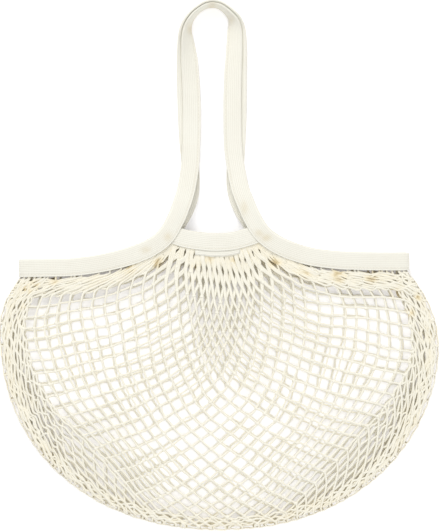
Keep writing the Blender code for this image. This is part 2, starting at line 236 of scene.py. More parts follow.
def finish_piece(name: str, bm: bmesh.types.BMesh, material: Material) -> bpy.types.Object:
    """Makes a smoothly shaded object of a bmesh and frees it.

    Args:
        name: The object's name.
        bm: Its mesh, in metres and in place.
        material: Its finish.

    Returns:
        The new object, at the origin.
    """
    mesh = bpy.data.meshes.new(name)
    bm.to_mesh(mesh)
    bm.free()
    mesh.shade_smooth()
    piece = bpy.data.objects.new(name, mesh)
    mesh.materials.append(material)
    bpy.context.scene.collection.objects.link(piece)
    return piece


def thicken(piece: bpy.types.Object, thickness: float) -> None:
    """Gives a surface its thickness in millimetres, half of it to each side."""
    solidify = piece.modifiers.new("thickness", "SOLIDIFY")
    solidify.thickness = thickness * MM
    solidify.offset = 0.0
    solidify.use_even_offset = False


def dress(piece: bpy.types.Object, stands_for: Iterable[str] = ()) -> None:
    """Puts a piece in the frame's body and hides the CAD nodes that it replaces.

    Args:
        piece: The finished piece.
        stands_for: CAD nodes that it replaces.
    """
    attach(piece, BODY)
    for node in stands_for:
        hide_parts(node)
    log.info("%s: %d faces", piece.name, len(piece.data.polygons))


@dataclass(frozen=True)
class BagPlan:
    """How the flat bag lies: its outline, its mouth and the heights of its layers.

    Attributes:
        corner_depth: How far below the bottom the net's own corner would lie, beyond the
            fold that cuts its meshes there.
        corner_share: Share of the rim from which the fold no longer cuts them.
        corner_power: How fast the net's own edge comes back to the rim on the way there.
        half_width: Half of the bag's greatest width.
        widest_y: Where it has that width.
        depth_below: From there down to its bottom.
        depth_above: From there up to the top that its upper arcs would reach.
        roundness_below: Power of the outline's lower half; 2 makes an ellipse.
        roundness_above: Power of its upper half.
        mouth_end_angle: Angle at which the outline ends at the mouth, from straight down.
        mouth_end_blend: Share of the rim over which it is led to the tape's end.
        outline_steps: Points of half the outline.
        left_end_x: Where the tape ends on the left.
        right_end_x: Where it ends on the right.
        rim_share: Share of a line's run that lies in the solid's closed rim.
        rim_width: Width of that rim at the mouth.
        tape_cells: Cells of the solid's net along a side tape.
        cells: Its cells on a whole side.
        hem_below_tape: How far below a tape's edge the net's even edge lies.
        left_join: Where the handle leaves the mouth on the left.
        right_join: Where it does on the right.
        gather_point: Where the lines between the joins aim at.
        join_half_length: Half the stretch at a join where the tape's slot is widest.
        join_fade: Length beside it over which the slot grows narrow.
        tape_thick: Thickness of a tape's cloth.
        net_slot: Width of a tape's slot for the net.
        join_slot: Its width at a join.
        back_net_z: Height of the back layer.
        front_net_z: Height of the front layer away from the rim.
        front_rim_z: Its height at the rim.
        rim_slope_length: Distance from the rim over which it rises.
        front_mouth_end_z: Its height at the mouth's ends.
        front_mouth_rise: How much higher it lies at the mouth's middle.
        mouth_arch_length: Width over which the mouth rises and falls again.
        back_layer_drop: How far the back's mouth lies below the front's in the plan.
        back_drop_half_width: Half the width over which it does.
        settle_length: Distance below the tapes over which the net comes to its own height.
        gather_height: Height of the folds below the front middle tape.
        gather_start: Distance over which they begin.
        gather_length: Distance at which they end.
        gather_half_width: Half the width that they take.
        gather_pitch: Distance from one to the next.
        wave_height: Height of the front layer's slow waves.
        wave_length: Distance from one wave to the next.
        mouth_edge: Places of the tapes' lower edge, from left to right.
    """

    corner_depth: float = 104.0
    corner_share: float = 0.53
    corner_power: float = 1.35
    half_width: float = 219.5
    widest_y: float = -91.0
    depth_below: float = 197.5
    depth_above: float = 132.0
    roundness_below: float = 2.15
    roundness_above: float = 2.0
    mouth_end_angle: float = math.radians(107.0)
    mouth_end_blend: float = 0.25
    outline_steps: int = 200
    left_end_x: float = -196.0
    right_end_x: float = 184.0
    rim_share: float = 0.085
    rim_width: float = 26.0
    tape_cells: int = 6
    cells: int = 14
    hem_below_tape: float = 1.5
    left_join: Pair = (-46.0, -7.5)
    right_join: Pair = (42.0, -6.5)
    gather_point: Pair = (-3.0, 90.0)
    join_half_length: float = 12.0
    join_fade: float = 22.0
    tape_thick: float = 0.8
    net_slot: float = 2.2
    join_slot: float = 4.4
    back_net_z: float = 1.35
    front_net_z: float = 9.6
    front_rim_z: float = 6.4
    rim_slope_length: float = 70.0
    front_mouth_end_z: float = 8.8
    front_mouth_rise: float = 3.0
    mouth_arch_length: float = 420.0
    back_layer_drop: float = 4.0
    back_drop_half_width: float = 150.0
    settle_length: float = 30.0
    gather_height: float = 0.7
    gather_start: float = 12.0
    gather_length: float = 70.0
    gather_half_width: float = 90.0
    gather_pitch: float = 20.4
    wave_height: float = 0.5
    wave_length: float = 95.0
    mouth_edge: tuple[Pair, ...] = (
        (-203.0, -36.0),
        (-160.0, -35.5),
        (-136.0, -33.5),
        (-112.0, -30.0),
        (-90.0, -24.0),
        (-70.0, -17.5),
        (-55.0, -11.0),
        (-44.0, -6.0),
        (-36.0, -6.6),
        (-27.0, -8.4),
        (-9.0, -10.0),
        (1.0, -10.0),
        (12.0, -9.0),
        (22.0, -6.6),
        (34.0, -3.4),
        (41.0, -4.4),
        (48.0, -9.0),
        (63.0, -16.5),
        (90.0, -24.5),
        (117.0, -27.8),
        (152.0, -29.3),
        (191.0, -29.3),
    )

    @property
    def tape_share(self) -> float:
        """Share of a net line's run at which the long tape leaves the net."""
        return self.rim_share + (1 - self.rim_share) * self.tape_cells / self.cells

    @cached_property
    def mouth_line(self) -> np.ndarray:
        """The tapes' lower edge along the mouth, as points of the plan."""
        return curve_through(self.mouth_edge, 2.0)

    @cached_property
    def outline(self) -> tuple[np.ndarray, np.ndarray, np.ndarray]:
        """Half of the net's outline, from the bottom's middle to the mouth's end.

        Returns:
            The length along it as shares, and X and Y of its points.
        """
        angles = np.linspace(0.0, self.mouth_end_angle, self.outline_steps)
        sine, cosine = np.sin(angles), np.cos(angles)
        power = np.where(cosine >= 0, self.roundness_below, self.roundness_above)
        depth = np.where(cosine >= 0, self.depth_below, self.depth_above)
        across = (sine / self.half_width) ** power
        radius = (across + (np.abs(cosine) / depth) ** power) ** (-1 / power)
        radius = radius - (self.front_rim_z - self.back_net_z) / 2
        x, y = radius * sine, self.widest_y - radius * cosine
        length = np.concatenate([[0.0], np.cumsum(np.hypot(np.diff(x), np.diff(y)))])
        return length / length[-1], x, y

    def mouth_edge_y(self, x: float) -> float:
        """Height in the plan of the tapes' lower edge at x."""
        return float(np.interp(x, self.mouth_line[:, 0], self.mouth_line[:, 1]))

    def back_drop(self, x: float) -> float:
        """How far the back layer's mouth lies below the front one's, in the plan."""
        return self.back_layer_drop * bump(x, self.back_drop_half_width)

    def mouth_slot(self, x: float) -> float:
        """Width of the long tape's slot along the mouth."""
        near = min(abs(x - self.left_join[0]), abs(x - self.right_join[0]))
        wider = bump(max(near - self.join_half_length, 0.0), self.join_fade)
        return self.net_slot + (self.join_slot - self.net_slot) * wider

    def mouth_z(self, x: float, layer: Layer) -> float:
        """Height of a layer's middle plane along the mouth."""
        if layer.is_front:
            arch = math.cos(math.pi * x / self.mouth_arch_length) ** 2
            return self.front_mouth_end_z + self.front_mouth_rise * arch
        return self.mouth_slot(x) / 2 + self.tape_thick

    def rim_distance(self, x: float, y: float) -> float:
        """About how far a point of the plan lies inside the bag's outline."""
        down = self.widest_y - y
        power, depth = self.roundness_above, self.depth_above
        if down > 0:
            power, depth = self.roundness_below, self.depth_below
        share = (abs(x / self.half_width) ** power + abs(down / depth) ** power) ** (1 / power)
        return (1 - share) * self.half_width

    def below_mouth(self, x: float, y: float, layer: Layer) -> float:
        """How far a point of the plan lies below the tapes of its layer."""
        drop = 0.0 if layer.is_front else self.back_drop(x)
        return self.mouth_edge_y(x) - drop - y

    def net_z(self, x: float, y: float, layer: Layer) -> float:
        """Height of a net layer's middle plane at a point of the plan."""
        below = self.mouth_edge_y(x) - y
        settled = smooth_step(below / self.settle_length)
        mouth = self.mouth_z(x, layer)
        if not layer.is_front:
            return mouth + (self.back_net_z - mouth) * settled
        fade = smooth_step(below / self.gather_start) * bump(below, self.gather_length)
        fade *= bump(x, self.gather_half_width)
        gather = self.gather_height * fade * math.cos(2 * math.pi * x / self.gather_pitch)
        turn = 2 * math.pi / self.wave_length
        wave = self.wave_height * math.sin(turn * x) * math.cos(turn * y)
        inward = smooth_step(self.rim_distance(x, y) / self.rim_slope_length)
        body = self.front_rim_z + (self.front_net_z - self.front_rim_z + wave) * inward
        return mouth + (body - mouth) * settled + gather

    def rim_xy(self, share: float, side: int) -> Point:
        """A point of the net's outline.

        Args:
            share: 0 at the bottom's middle, 1 at the mouth's end.
            side: -1 for the left half, 1 for the right.

        Returns:
            X and Y.
        """
        along, x, y = self.outline
        return np.array([side * np.interp(share, along, x), np.interp(share, along, y)])

    def mouth_xy(self, share: float, side: int, layer: Layer) -> Point:
        """A point of the net's upper edge.

        Args:
            share: 0 at the mouth's end; past tape_share it aims at the gather point.
            side: -1 for the left half, 1 for the right.
            layer: The layer that it belongs to.

        Returns:
            X and Y.
        """
        end_x = self.right_end_x if side > 0 else self.left_end_x
        join = self.right_join if side > 0 else self.left_join
        if share > self.tape_share:
            aim = (share - self.tape_share) / (1 - self.tape_share)
            x, y = (1 - aim) * np.array(join) + aim * np.array(self.gather_point)
        else:
            stops = (0.0, self.rim_share, self.tape_share)
            x = float(np.interp(share, stops, (end_x, end_x - side * self.rim_width, join[0])))
            y = self.mouth_edge_y(x) - self.hem_below_tape
        return np.array([x, y if layer.is_front else y - self.back_drop(x)])

    def rim_to_mouth(self, share: float, side: int, layer: Layer) -> Point:
        """A point of the rim, led to the mouth's end over its last stretch."""
        reach = self.mouth_xy(0.0, side, layer) - self.rim_xy(1.0, side)
        return self.rim_xy(share, side) + reach * smooth_step((share - 1) / self.mouth_end_blend + 1)

    def mesh_rim(self, share: float, side: int, layer: Layer) -> Point:
        """Where the net's lines start: the rim, or outside it near the bottom."""
        outside = self.corner_depth * max(0.0, 1 - share / self.corner_share) ** self.corner_power
        return self.rim_to_mouth(share, side, layer) - np.array([0.0, outside])

    def net_xy(self, a: float, b: float, layer: Layer) -> Point:
        """Place in the plan of the crossing of two net lines.

        Args:
            a: Share of the run from the left rim to the middle of the mouth.
            b: Share of the run from the right rim to the same place.
            layer: The layer.

        Returns:
            X and Y.
        """
        sides = (
            (1 - a) * self.mesh_rim(b, -1, layer)
            + a * self.mouth_xy(b, 1, layer)
            + (1 - b) * self.mesh_rim(a, 1, layer)
            + b * self.mouth_xy(a, -1, layer)
        )
        corners = (
            (1 - a) * (1 - b) * self.mesh_rim(0.0, 1, layer)
            + a * (1 - b) * self.mouth_xy(0.0, 1, layer)
            + (1 - a) * b * self.mouth_xy(0.0, -1, layer)
            + a * b * self.mouth_xy(1.0, 1, layer)
        )
        return sides - corners


@dataclass(frozen=True)
class Strand:
    """One laid strand.

    Attributes:
        points: Its middle line.
        ups: The upward direction of its flat yarn at each point.
        painted_shade: How deep the painted shade of other strands is at each point.
    """

    points: np.ndarray
    ups: np.ndarray
    painted_shade: np.ndarray


@dataclass
class NetLayer:
    """One layer of the knotted net, with its half of the turn round the rim.

    Attributes:
        plan: How the bag lies.
        layer: Which layer this is.
        gaps: Gaps of the open net along a side.
        rim_lines: Strands of each family crowded along the rim.
        rim_squeeze: Room that they take at the sides, as a share of the solid's closed band.
        mouth_share: Share of a run that is crowded below a side tape.
        mouth_lines: Strands of each family crowded there.
        rim_offsets: Place of the first strand in its own room at the rim, front and back.
        crowd_start: Share of a run from which the strands beside it grow crowded.
        crowd_growth: Further share over which they do.
        bottom_spacing: Room between the bottom's lines, as a share of the mean.
        bottom_start: Share of the lines from which their room grows.
        bottom_end: Share of the lines up to which it does.
        zigzag_turns: How often a crowded strand meets its neighbours in a whole run.
        zigzag: How far it swings between them, as a share of the room between two strands.
        zigzag_noise: How fast its unevenness changes along a run.
        zigzag_slip: How far that shifts its turns.
        zigzag_change: How far that changes its swing.
        zigzag_fades: Distance beyond the crowds at the rim and below a side tape over
            which it ends, in widths of these crowds.
        crowd_drift: How far crowded strands lie off their even places.
        crowd_scale: Distance over which that changes.
        crowd_lift: How far they rise over one another.
        shades: Depth of the shade among crowded strands, on the front and on the back.
        crowd_shade: Share of it that shows where strands crowd.
        crowd_depth: Weight of the layer's shade there.
        crowd_contrast: Weight of a strand's own height there.
        hollow_depth: Weight of the layer's shade in a hollow.
        hollow_rest: What is taken off it.
        hollow_shade_spots: Spots of painted shade, as in hollows among the crowded strands, each as x,
            y and radius.
        rim_sweep: How far the strands that reach the rim turn to run along it.
        rim_sweep_power: How late in their run they do.
        rim_sweep_ends: Shares at the bottom and at the mouth over which that fades.
        mouth_sweep: How far those that reach a side tape do.
        mouth_sweep_power: How late in their run they do.
        mouth_sweep_ends: Shares at the mouth's end and at the join over which that fades.
        gather_pull: How far the net below the middle tapes is stretched into them.
        gather_reach: Distance below them that it is stretched over.
        gather_x: Middle of the gather.
        gather_half_width: Half of the width that is stretched.
        gather_squeeze: How much it is drawn together there.
        fan_squeeze: How much the net below them is drawn together.
        fan_half_width: Half of the width of that fan.
        fan_start: Distance below the tapes at which it begins to open.
        fan_length: Length over which it opens.
        twin_run: Share of a run along which a line below the middle tapes is three strands.
        twin_margin: Share before the join from which lines are split like that.
        edge_swing: How far a strand that runs along the rim swings in and out.
        edge_pitch: Length of one such swing.
        edge_scale: Distance over which its unevenness changes.
        edge_slip: How far that shifts its turns.
        edge_change: How far that changes its swing and its height.
        edge_inset: How far inside the outline the lines begin.
        edges: Depths of the strands along the rim, on the front and on the back; below 0
            is on the fold.
        fold_swing: Shares of the swing that a strand on the fold takes up and out.
        fold_tolerance: How far a line may run outside its beginning, in edge_inset.
        yarn_width: Width of a laid strand.
        yarn_height: Thickness of a laid strand.
        yarn_sides: Its sides.
        yarn_step: Distance between its cross sections.
        width_change: How far its width changes.
        width_scale: Distance over which it does.
        line_samples: Places worked out along a line.
        run_margin: Share of them added for each line.
        over_under: How far one family lies above the middle and the other below it.
        slack_lift: How far a strand of the open net rises and sinks.
        lift_scale: Distance over which it does.
        rise_length: Distance below a tape over which the strands spread in height.
        lift_at_tape: Share of that height that is left at the tape.
        into_tape: How far a strand reaches into the tape's fold.
        hem_length: Length of a strand's straight end there.
        fold_steps: Steps of this layer's half of the turn round the rim.
        share_jitter: How far a line of the open net lies off its even place, in gaps.
        slow_drift: How far the slack net wanders.
        slow_scale: Distance over which that changes.
        quick_drift: How far single crossings wander.
        quick_scale: Distance over which that changes.
        quick_left: Shares of it that are left at the rim and at the tapes.
        layer_drift: How far the back wanders off the front.
        layer_scale: Distance over which that changes.
        drift_rim_fade: Distance from the rim over which the net comes to wander.
        drift_mouth_fade: The same below the tapes.
        knot_size: Length, width and height of a knot.
        knot_mesh: Its sides, and its steps from pole to pole.
        knot_room: Least gap beside a knot; closer crossings have none.
        knot_below_tape: How far below a tape the knots begin.
        knot_slant_from: Unevenness from which a knot lies along the gap, not the strand.
        knot_lean: How far it is turned from there.
        knot_change: How far its size changes.
        knot_lift: How far its middle lies above the layer's.
        knot_rise: Its height among the strands, for its shade.
        crowded_rim: Width of the crowded band along the rim.
        crowded_mouth: Width of the one below the side tapes.
        crowded_middle: How much wider it is below the middle tapes, and over what half width.
        flat_side: Side of the flat square net, as long as half its rim; not used.
        seeds: Numbers that keep the noise of the front and of the back apart.
    """

    plan: BagPlan
    layer: Layer
    gaps: int = 29
    rim_lines: int = 10
    rim_squeeze: float = 0.74
    mouth_share: float = 0.058
    mouth_lines: int = 8
    rim_offsets: Pair = (0.35, 0.85)
    crowd_start: float = 0.45
    crowd_growth: float = 0.38
    bottom_spacing: float = 0.52
    bottom_start: float = 0.22
    bottom_end: float = 0.62
    zigzag_turns: float = 25.0
    zigzag: float = 0.55
    zigzag_noise: float = 9.0
    zigzag_slip: float = 0.45
    zigzag_change: float = 0.6
    zigzag_fades: Pair = (0.4, 0.5)
    crowd_drift: float = 1.3
    crowd_scale: float = 6.5
    crowd_lift: float = 1.1
    shades: Pair = (0.34, 0.6)
    crowd_shade: float = 0.5
    crowd_depth: float = 0.85
    crowd_contrast: float = 0.45
    hollow_depth: float = 1.6
    hollow_rest: float = 0.04
    # Spots of darker painted shade, as in hollows among the crowded strands.
    hollow_shade_spots: tuple[Triple, ...] = (
        (-193.0, -49.0, 9.0),
        (-185.0, -43.0, 7.0),
        (-197.0, -66.0, 5.0),
        (-165.0, -39.0, 8.0),
        (-88.0, -29.0, 9.0),
        (-62.0, -22.0, 9.0),
        (-24.0, -25.0, 6.0),
        (-11.0, -18.0, 7.0),
        (14.0, -19.0, 6.0),
        (54.0, -21.0, 9.0),
        (84.0, -31.0, 11.0),
        (118.0, -35.0, 11.0),
        (152.0, -34.0, 13.0),
        (176.0, -52.0, 9.0),
        (191.0, -71.0, 7.0),
        (198.0, -56.0, 5.0),
    )
    rim_sweep: float = 0.22
    rim_sweep_power: float = 1.3
    rim_sweep_ends: Pair = (0.35, 0.3)
    mouth_sweep: float = 0.13
    mouth_sweep_power: float = 1.2
    mouth_sweep_ends: Pair = (0.12, 0.14)
    gather_pull: float = 58.0
    gather_reach: float = 84.0
    gather_x: float = -3.0
    gather_half_width: float = 112.0
    gather_squeeze: float = 0.42
    fan_squeeze: float = 0.22
    fan_half_width: float = 160.0
    fan_start: float = 20.0
    fan_length: float = 245.0
    twin_run: float = 0.24
    twin_margin: float = 0.04
    edge_swing: float = 1.1
    edge_pitch: float = 12.5
    edge_scale: float = 15.0
    edge_slip: float = 0.6
    edge_change: float = 0.8
    edge_inset: float = 2.7
    edges: tuple[tuple[float, ...], ...] = ((-1.0, 2.2, 5.0, 8.2), (0.8, 3.8, 7.0))
    fold_swing: Pair = (0.7, 0.3)
    fold_tolerance: float = 0.6
    yarn_width: float = 2.15
    yarn_height: float = 1.5
    yarn_sides: int = 7
    yarn_step: float = 2.9
    width_change: float = 0.16
    width_scale: float = 5.0
    line_samples: int = 150
    run_margin: float = 0.02
    over_under: float = 0.42
    slack_lift: float = 0.4
    lift_scale: float = 11.0
    rise_length: float = 14.0
    lift_at_tape: float = 0.25
    into_tape: float = 5.0
    hem_length: float = 9.0
    fold_steps: int = 5
    share_jitter: float = 0.13
    slow_drift: float = 3.0
    slow_scale: float = 42.0
    quick_drift: float = 1.25
    quick_scale: float = 9.0
    quick_left: Pair = (0.35, 0.3)
    layer_drift: float = 6.5
    layer_scale: float = 85.0
    drift_rim_fade: float = 45.0
    drift_mouth_fade: float = 28.0
    knot_size: Triple = (4.4, 3.5, 2.9)
    knot_mesh: tuple[int, int] = (8, 4)
    knot_room: float = 5.6
    knot_below_tape: float = 2.0
    knot_slant_from: float = -0.1
    knot_lean: float = 0.5
    knot_change: float = 0.3
    knot_lift: float = 0.1
    knot_rise: float = 0.5
    crowded_rim: float = 34.0
    crowded_mouth: float = 26.0
    crowded_middle: Pair = (12.0, 70.0)
    flat_side: float = 390.0
    seeds: Pair = (3.7, 11.3)

    def own(self, values: Sequence) -> object:
        """This layer's of two values, which are given for the front and for the back."""
        return values[0] if self.layer.is_front else values[1]

    @property
    def seed(self) -> float:
        """Number that sets this layer's noise."""
        return self.own(self.seeds)

    @property
    def girth(self) -> float:
        """Length of the way round a strand."""
        return math.pi * (self.yarn_width + self.yarn_height) / 2

    @property
    def gap_share(self) -> float:
        """Share of a run that one gap of the open net takes."""
        return (1 - self.plan.rim_share - self.mouth_share) / self.gaps

    @cached_property
    def open_shares(self) -> list[float]:
        """Shares of the open net's lines, each a little off its even place."""
        shares = []
        for k in range(self.gaps):
            off = noise_at(k * LINE_NOISE_STEP, self.seed, 0.5) if k else 0.0
            shares.append(self.plan.rim_share + self.gap_share * (k + self.share_jitter * off))
        return shares

    def twin_shares(self) -> list[float]:
        """Shares of the lines that split in three below the middle tapes."""
        start = self.plan.tape_share - self.twin_margin
        return [share for share in self.open_shares if share > start]

    def split(self, share: float, run: float) -> float:
        """How far a line's twin lies beside it, from none up to a third of a gap at the tape."""
        start = 1 + self.plan.tape_share - share - self.twin_run
        return self.gap_share / 3 * smooth_step((run - start) / self.twin_run)

    def shares(self) -> list[float]:
        """Shares of all lines of one family, from the rim to the middle."""
        late = self.own(self.rim_offsets)
        rim = [self.plan.rim_share * (k + late) / self.rim_lines for k in range(self.rim_lines)]
        crowd = [self.mouth_share * k / self.mouth_lines for k in range(self.mouth_lines, 0, -1)]
        return rim + self.open_shares + [1 - share for share in crowd]

    def spread(self, share: float, run: float) -> float:
        """Where a line lies once the crowd along the rim has opened at the bag's bottom.

        Args:
            share: The line's share where the rim is crowded.
            run: How far along it, from the rim at 0 to the mouth at 1.

        Returns:
            Its share there.
        """
        open_end = 1 - self.mouth_share
        if share >= open_end:
            return share
        rim_end = self.rim_lines / (self.rim_lines + self.gaps)
        number = float(np.interp(share, (0.0, self.plan.rim_share, open_end), (0.0, rim_end, 1.0)))
        spread = open_end * self.spacing(number)
        band = (0.0, self.rim_squeeze * self.plan.rim_share, open_end)
        share = float(np.interp(share, (0.0, self.plan.rim_share, open_end), band))
        return share + (spread - share) * (1 - self.crowd_along(run))

    def crowd_along(self, run: float) -> float:
        """How far the lines beside the rim are crowded, 0 at the bottom and 1 at the sides."""
        return smooth_step((run - self.crowd_start) / self.crowd_growth)

    def spacing(self, number: float) -> float:
        """Place along the rim of a line, closer at the bottom than at the sides.

        Args:
            number: The line's number as a share of them all.

        Returns:
            Its place as a share of the rim.
        """
        start, end = self.bottom_start, self.bottom_end
        t = min(max((number - start) / (end - start), 0.0), 1.0)
        opened = (end - start) * (t**3 - t**4 / 2) + max(0.0, number - end)
        whole = 1 - (start + end) / 2
        return self.bottom_spacing * number + (1 - self.bottom_spacing) / whole * opened

    def swing(self, share: float, run: float, number: int) -> float:
        """How far a crowded line swings off its place, to and from its neighbours.

        Args:
            share: The line's share.
            run: How far along it.
            number: Its number, which sets whether it swings out or in.

        Returns:
            The change of its share.
        """
        room = self.plan.rim_share / self.rim_lines * self.crowd_along(run)
        beyond = (share / self.plan.rim_share - 1) / self.zigzag_fades[0]
        room *= 1 - smooth_step(beyond)
        beyond = ((1 - share) / self.mouth_share - 1) / self.zigzag_fades[1]
        room += self.mouth_share / self.mouth_lines * (1 - smooth_step(beyond))
        uneven = noise_at(run * self.zigzag_noise, number * SWING_NOISE_STEP, self.seed)
        turns = run * self.zigzag_turns + self.zigzag_slip * uneven
        turn = 2 * math.pi * turns + math.pi * number
        return self.zigzag * room * math.sin(turn) * (1 + self.zigzag_change * uneven)

    def swept(self, share: float, run: float) -> float:
        """Where a line really lies that reaches the rim or a side tape.

        Args:
            share: The line's share.
            run: How far along it, from the rim at 0 to the mouth at 1.

        Returns:
            Its share there: near the rim it turns down along it, and near a side tape up
            towards the middle.
        """
        rim = max(0.0, 1 - run / self.plan.rim_share) ** self.rim_sweep_power
        first, last = self.rim_sweep_ends
        share -= self.rim_sweep * smooth_step(share / first) * smooth_step((1 - share) / last) * rim
        mouth = max(0.0, 1 - (1 - run) / self.mouth_share) ** self.mouth_sweep_power
        first, last = self.mouth_sweep_ends
        ends = smooth_step(share / first) * smooth_step((self.plan.tape_share - share) / last)
        return share + self.mouth_sweep * ends * mouth

    def drift(self, xy: Point) -> Point:
        """How far the slack net has wandered from its even place."""
        x, y = float(xy[0]), float(xy[1])
        inside = smooth_step(self.plan.rim_distance(x, y) / self.drift_rim_fade)
        below = smooth_step(self.plan.below_mouth(x, y, self.layer) / self.drift_mouth_fade)
        slow = wander((x, y), self.slow_scale, self.seed) * self.slow_drift
        quick = wander((x, y), self.quick_scale, self.seed + QUICK_NOISE_STEP) * self.quick_drift
        at_rim, at_mouth = self.quick_left
        quick = quick * (at_rim + (1 - at_rim) * inside) * (at_mouth + (1 - at_mouth) * below)
        moved = slow * inside * below + quick
        crowd = wander((x, y), self.crowd_scale, self.seed + CROWD_NOISE_STEP) * self.crowd_drift
        moved += crowd * self.crowded_and_shaded(x, y)
        if not self.layer.is_front:
            reach = self.layer_drift * inside * below
            moved += wander((x, y), self.layer_scale, self.seed + BACK_NOISE_STEP) * reach
        return np.array([moved.x, moved.y])

    def place(self, a: float, b: float) -> Point:
        """Where two lines cross in the plan, with the net's slackness."""
        across, along = self.spread(self.swept(a, b), b), self.spread(self.swept(b, a), a)
        xy = self.gathered(self.plan.net_xy(across, along, self.layer))
        return xy + self.drift(xy)

    def gathered(self, xy: Point) -> Point:
        """Where a point of the net lies once the middle tapes have gathered it."""
        x, y = float(xy[0]), float(xy[1])
        below = max(self.plan.below_mouth(x, y, self.layer), 0.0)
        aside = x - self.gather_x
        near = max(0.0, 1 - below / self.gather_reach) ** 2 * bump(aside, self.gather_half_width)
        fan = 1 - smooth_step((below - self.fan_start) / self.fan_length)
        fan *= self.fan_squeeze * bump(aside, self.fan_half_width)
        inward = aside * (self.gather_squeeze * near + fan)
        return np.array([x - inward, y + self.gather_pull * near])

    def crowded_and_shaded(self, x: float, y: float) -> float:
        """How much the strands are crowded at a point of the plan, from 0 to 1; it also sets their
        painted shade.
        """
        rim = bump(max(self.plan.rim_distance(x, y), 0.0), self.crowded_rim)
        wider, half_width = self.crowded_middle
        width = self.crowded_mouth + wider * bump(x, half_width)
        mouth = bump(max(self.plan.below_mouth(x, y, self.layer), 0.0), width)
        return max(rim, mouth)

    def shade(self, x: float, y: float, uneven: float) -> float:
        """How much the strands at a point of the plan lie in one another's shade.

        Args:
            x: Across.
            y: Up the plan.
            uneven: How far this strand rises above its neighbours, from about -1 to 1.

        Returns:
            0 in the open net, about 0.5 where strands crowd and 1 in a hollow among them.
        """
        depth = self.own(self.shades)
        # Painted shade among crowded strands, darker still in the spots of hollow shade.
        crowd = self.crowd_depth * depth - self.crowd_contrast * uneven
        hollow_shade = self.hollow_depth * depth - self.hollow_rest - uneven
        spots = (bump(math.hypot(x - u, y - v), r) for u, v, r in self.hollow_shade_spots)
        amount = self.crowd_shade * self.crowded_and_shaded(x, y) * crowd + hollow_shade * max(spots)
        return min(max(amount, 0.0), 1.0)

    def line(self, family: Family, share: float, number: int, twin: int = 0) -> np.ndarray:
        """Plan of one strand, from the rim to its end in a tape.

        Args:
            family: Which family it belongs to.
            share: Its share.
            number: Its number in its family.
            twin: 1 or 2 for a twin of the line, which begins where it splits.

        Returns:
            X and Y of its points.
        """
        points = []
        first = max(0.0, 1 + self.plan.tape_share - share - self.twin_run) if twin else 0.0
        samples = round(self.line_samples * (1 + self.run_margin - first))
        for run in np.linspace(first, 1.0, samples):
            there = share + self.swing(share, float(run), number)
            there += twin * self.split(share, run)
            pair = (there, run) if family is Family.FROM_RIGHT_RIM else (run, there)
            points.append(self.place(*pair))
        points.append(points[-1] + np.array([0.0, self.hem_length]))
        kept = []
        for point in self.inside_rim(points):
            kept.append(point)
            if self.plan.below_mouth(point[0], point[1], self.layer) < -self.into_tape:
                break
        return np.array(kept)

    def inside_rim(self, points: Sequence[Point]) -> Sequence[Point]:
        """The points of a line from where it comes in over the bottom's fold."""
        depths = [self.plan.rim_distance(x, y) - self.edge_inset for x, y in points]
        first = next(k for k, depth in enumerate(depths) if depth > 0)
        if first == 0 or points[0][1] > self.plan.widest_y:
            return points
        low = [k for k, xy in enumerate(points) if xy[1] < self.plan.widest_y]
        outside = -self.fold_tolerance * self.edge_inset
        first = max([first, *(k + 1 for k in low if depths[k] < outside)])
        share = max(depths[first], 0.0) / (depths[first] - depths[first - 1])
        start = points[first] + share * (points[first - 1] - points[first])
        return [start, *points[first:]]

    def strand(self, family: Family, share: float, number: int, twin: int = 0) -> Strand:
        """Lays one strand at its height and round the rim."""
        plan = self.plan
        side = 1 if family is Family.FROM_RIGHT_RIM else -1
        above = self.over_under * side
        level = self.seed + FAMILY_NOISE_STEP * side + SHARE_NOISE_STEP * share
        xy = evenly_spaced(self.line(family, share, number, twin), self.yarn_step)
        points, ups, painted_shade = [], [], []
        for x, y in xy:
            inside = smooth_step(plan.below_mouth(x, y, self.layer) / self.rise_length)
            uneven = noise_at(x / self.lift_scale, y / self.lift_scale, level)
            lift = (self.slack_lift + self.crowd_lift * self.crowded_and_shaded(x, y) * inside) * uneven
            spread = self.lift_at_tape + (1 - self.lift_at_tape) * inside
            z = plan.net_z(x, y, self.layer) + (above + lift) * spread
            points.append((x, y, max(z, self.yarn_height / 2)))
            ups.append((0.0, 0.0, 1.0))
            painted_shade.append(self.shade(x, y, uneven))
        if twin:
            return Strand(np.array(points), np.array(ups), np.array(painted_shade))
        turn, turn_ups = self.rim_turn(share, side, np.array(points[0]))
        painted_shade = [painted_shade[0]] * len(turn) + painted_shade
        return Strand(np.array(turn + points), np.array(turn_ups + ups), np.array(painted_shade))

    def rim_radius(self) -> float:
        """Radius of the net's turn from one layer to the other."""
        return (self.plan.front_rim_z - self.plan.back_net_z) / 2

    def outward(self, xy: Point) -> Point:
        """Direction in the plan that points out of the bag near its rim."""
        step = 0.5
        x, y = float(xy[0]), float(xy[1])
        here = self.plan.rim_distance(x, y)
        slope = (self.plan.rim_distance(x + step, y) - here, self.plan.rim_distance(x, y + step) - here)
        return -unit(np.array([slope[0], slope[1], 0.0]))

    def rim_turn(self, share: float, side: int, first: Point) -> tuple[list[Point], list[Point]]:
        """This layer's half of a strand's turn round the rim.

        Args:
            share: The strand's share.
            side: Which half of the rim it turns at.
            first: Its first point in the layer.

        Returns:
            Points and upward directions, from the outermost point to the layer.
        """
        out = self.outward(first[:2])
        if share > 1 - self.plan.mouth_end_blend:
            toward = smooth_step((share - 1) / self.plan.mouth_end_blend + 1)
            out = unit((1 - toward) * out + toward * np.array([side, 0.0, 0.0]))
        sign = 1.0 if self.layer.is_front else -1.0
        radius = self.rim_radius()
        middle = first - np.array([0.0, 0.0, sign * radius])
        up = np.array([0.0, 0.0, sign])
        points, ups = [], []
        for k in range(self.fold_steps):
            swing = math.pi / 2 * (1 - k / self.fold_steps)
            arm = math.cos(swing) * up + math.sin(swing) * out
            points.append(middle + radius * arm)
            ups.append(sign * arm)
        return points, ups

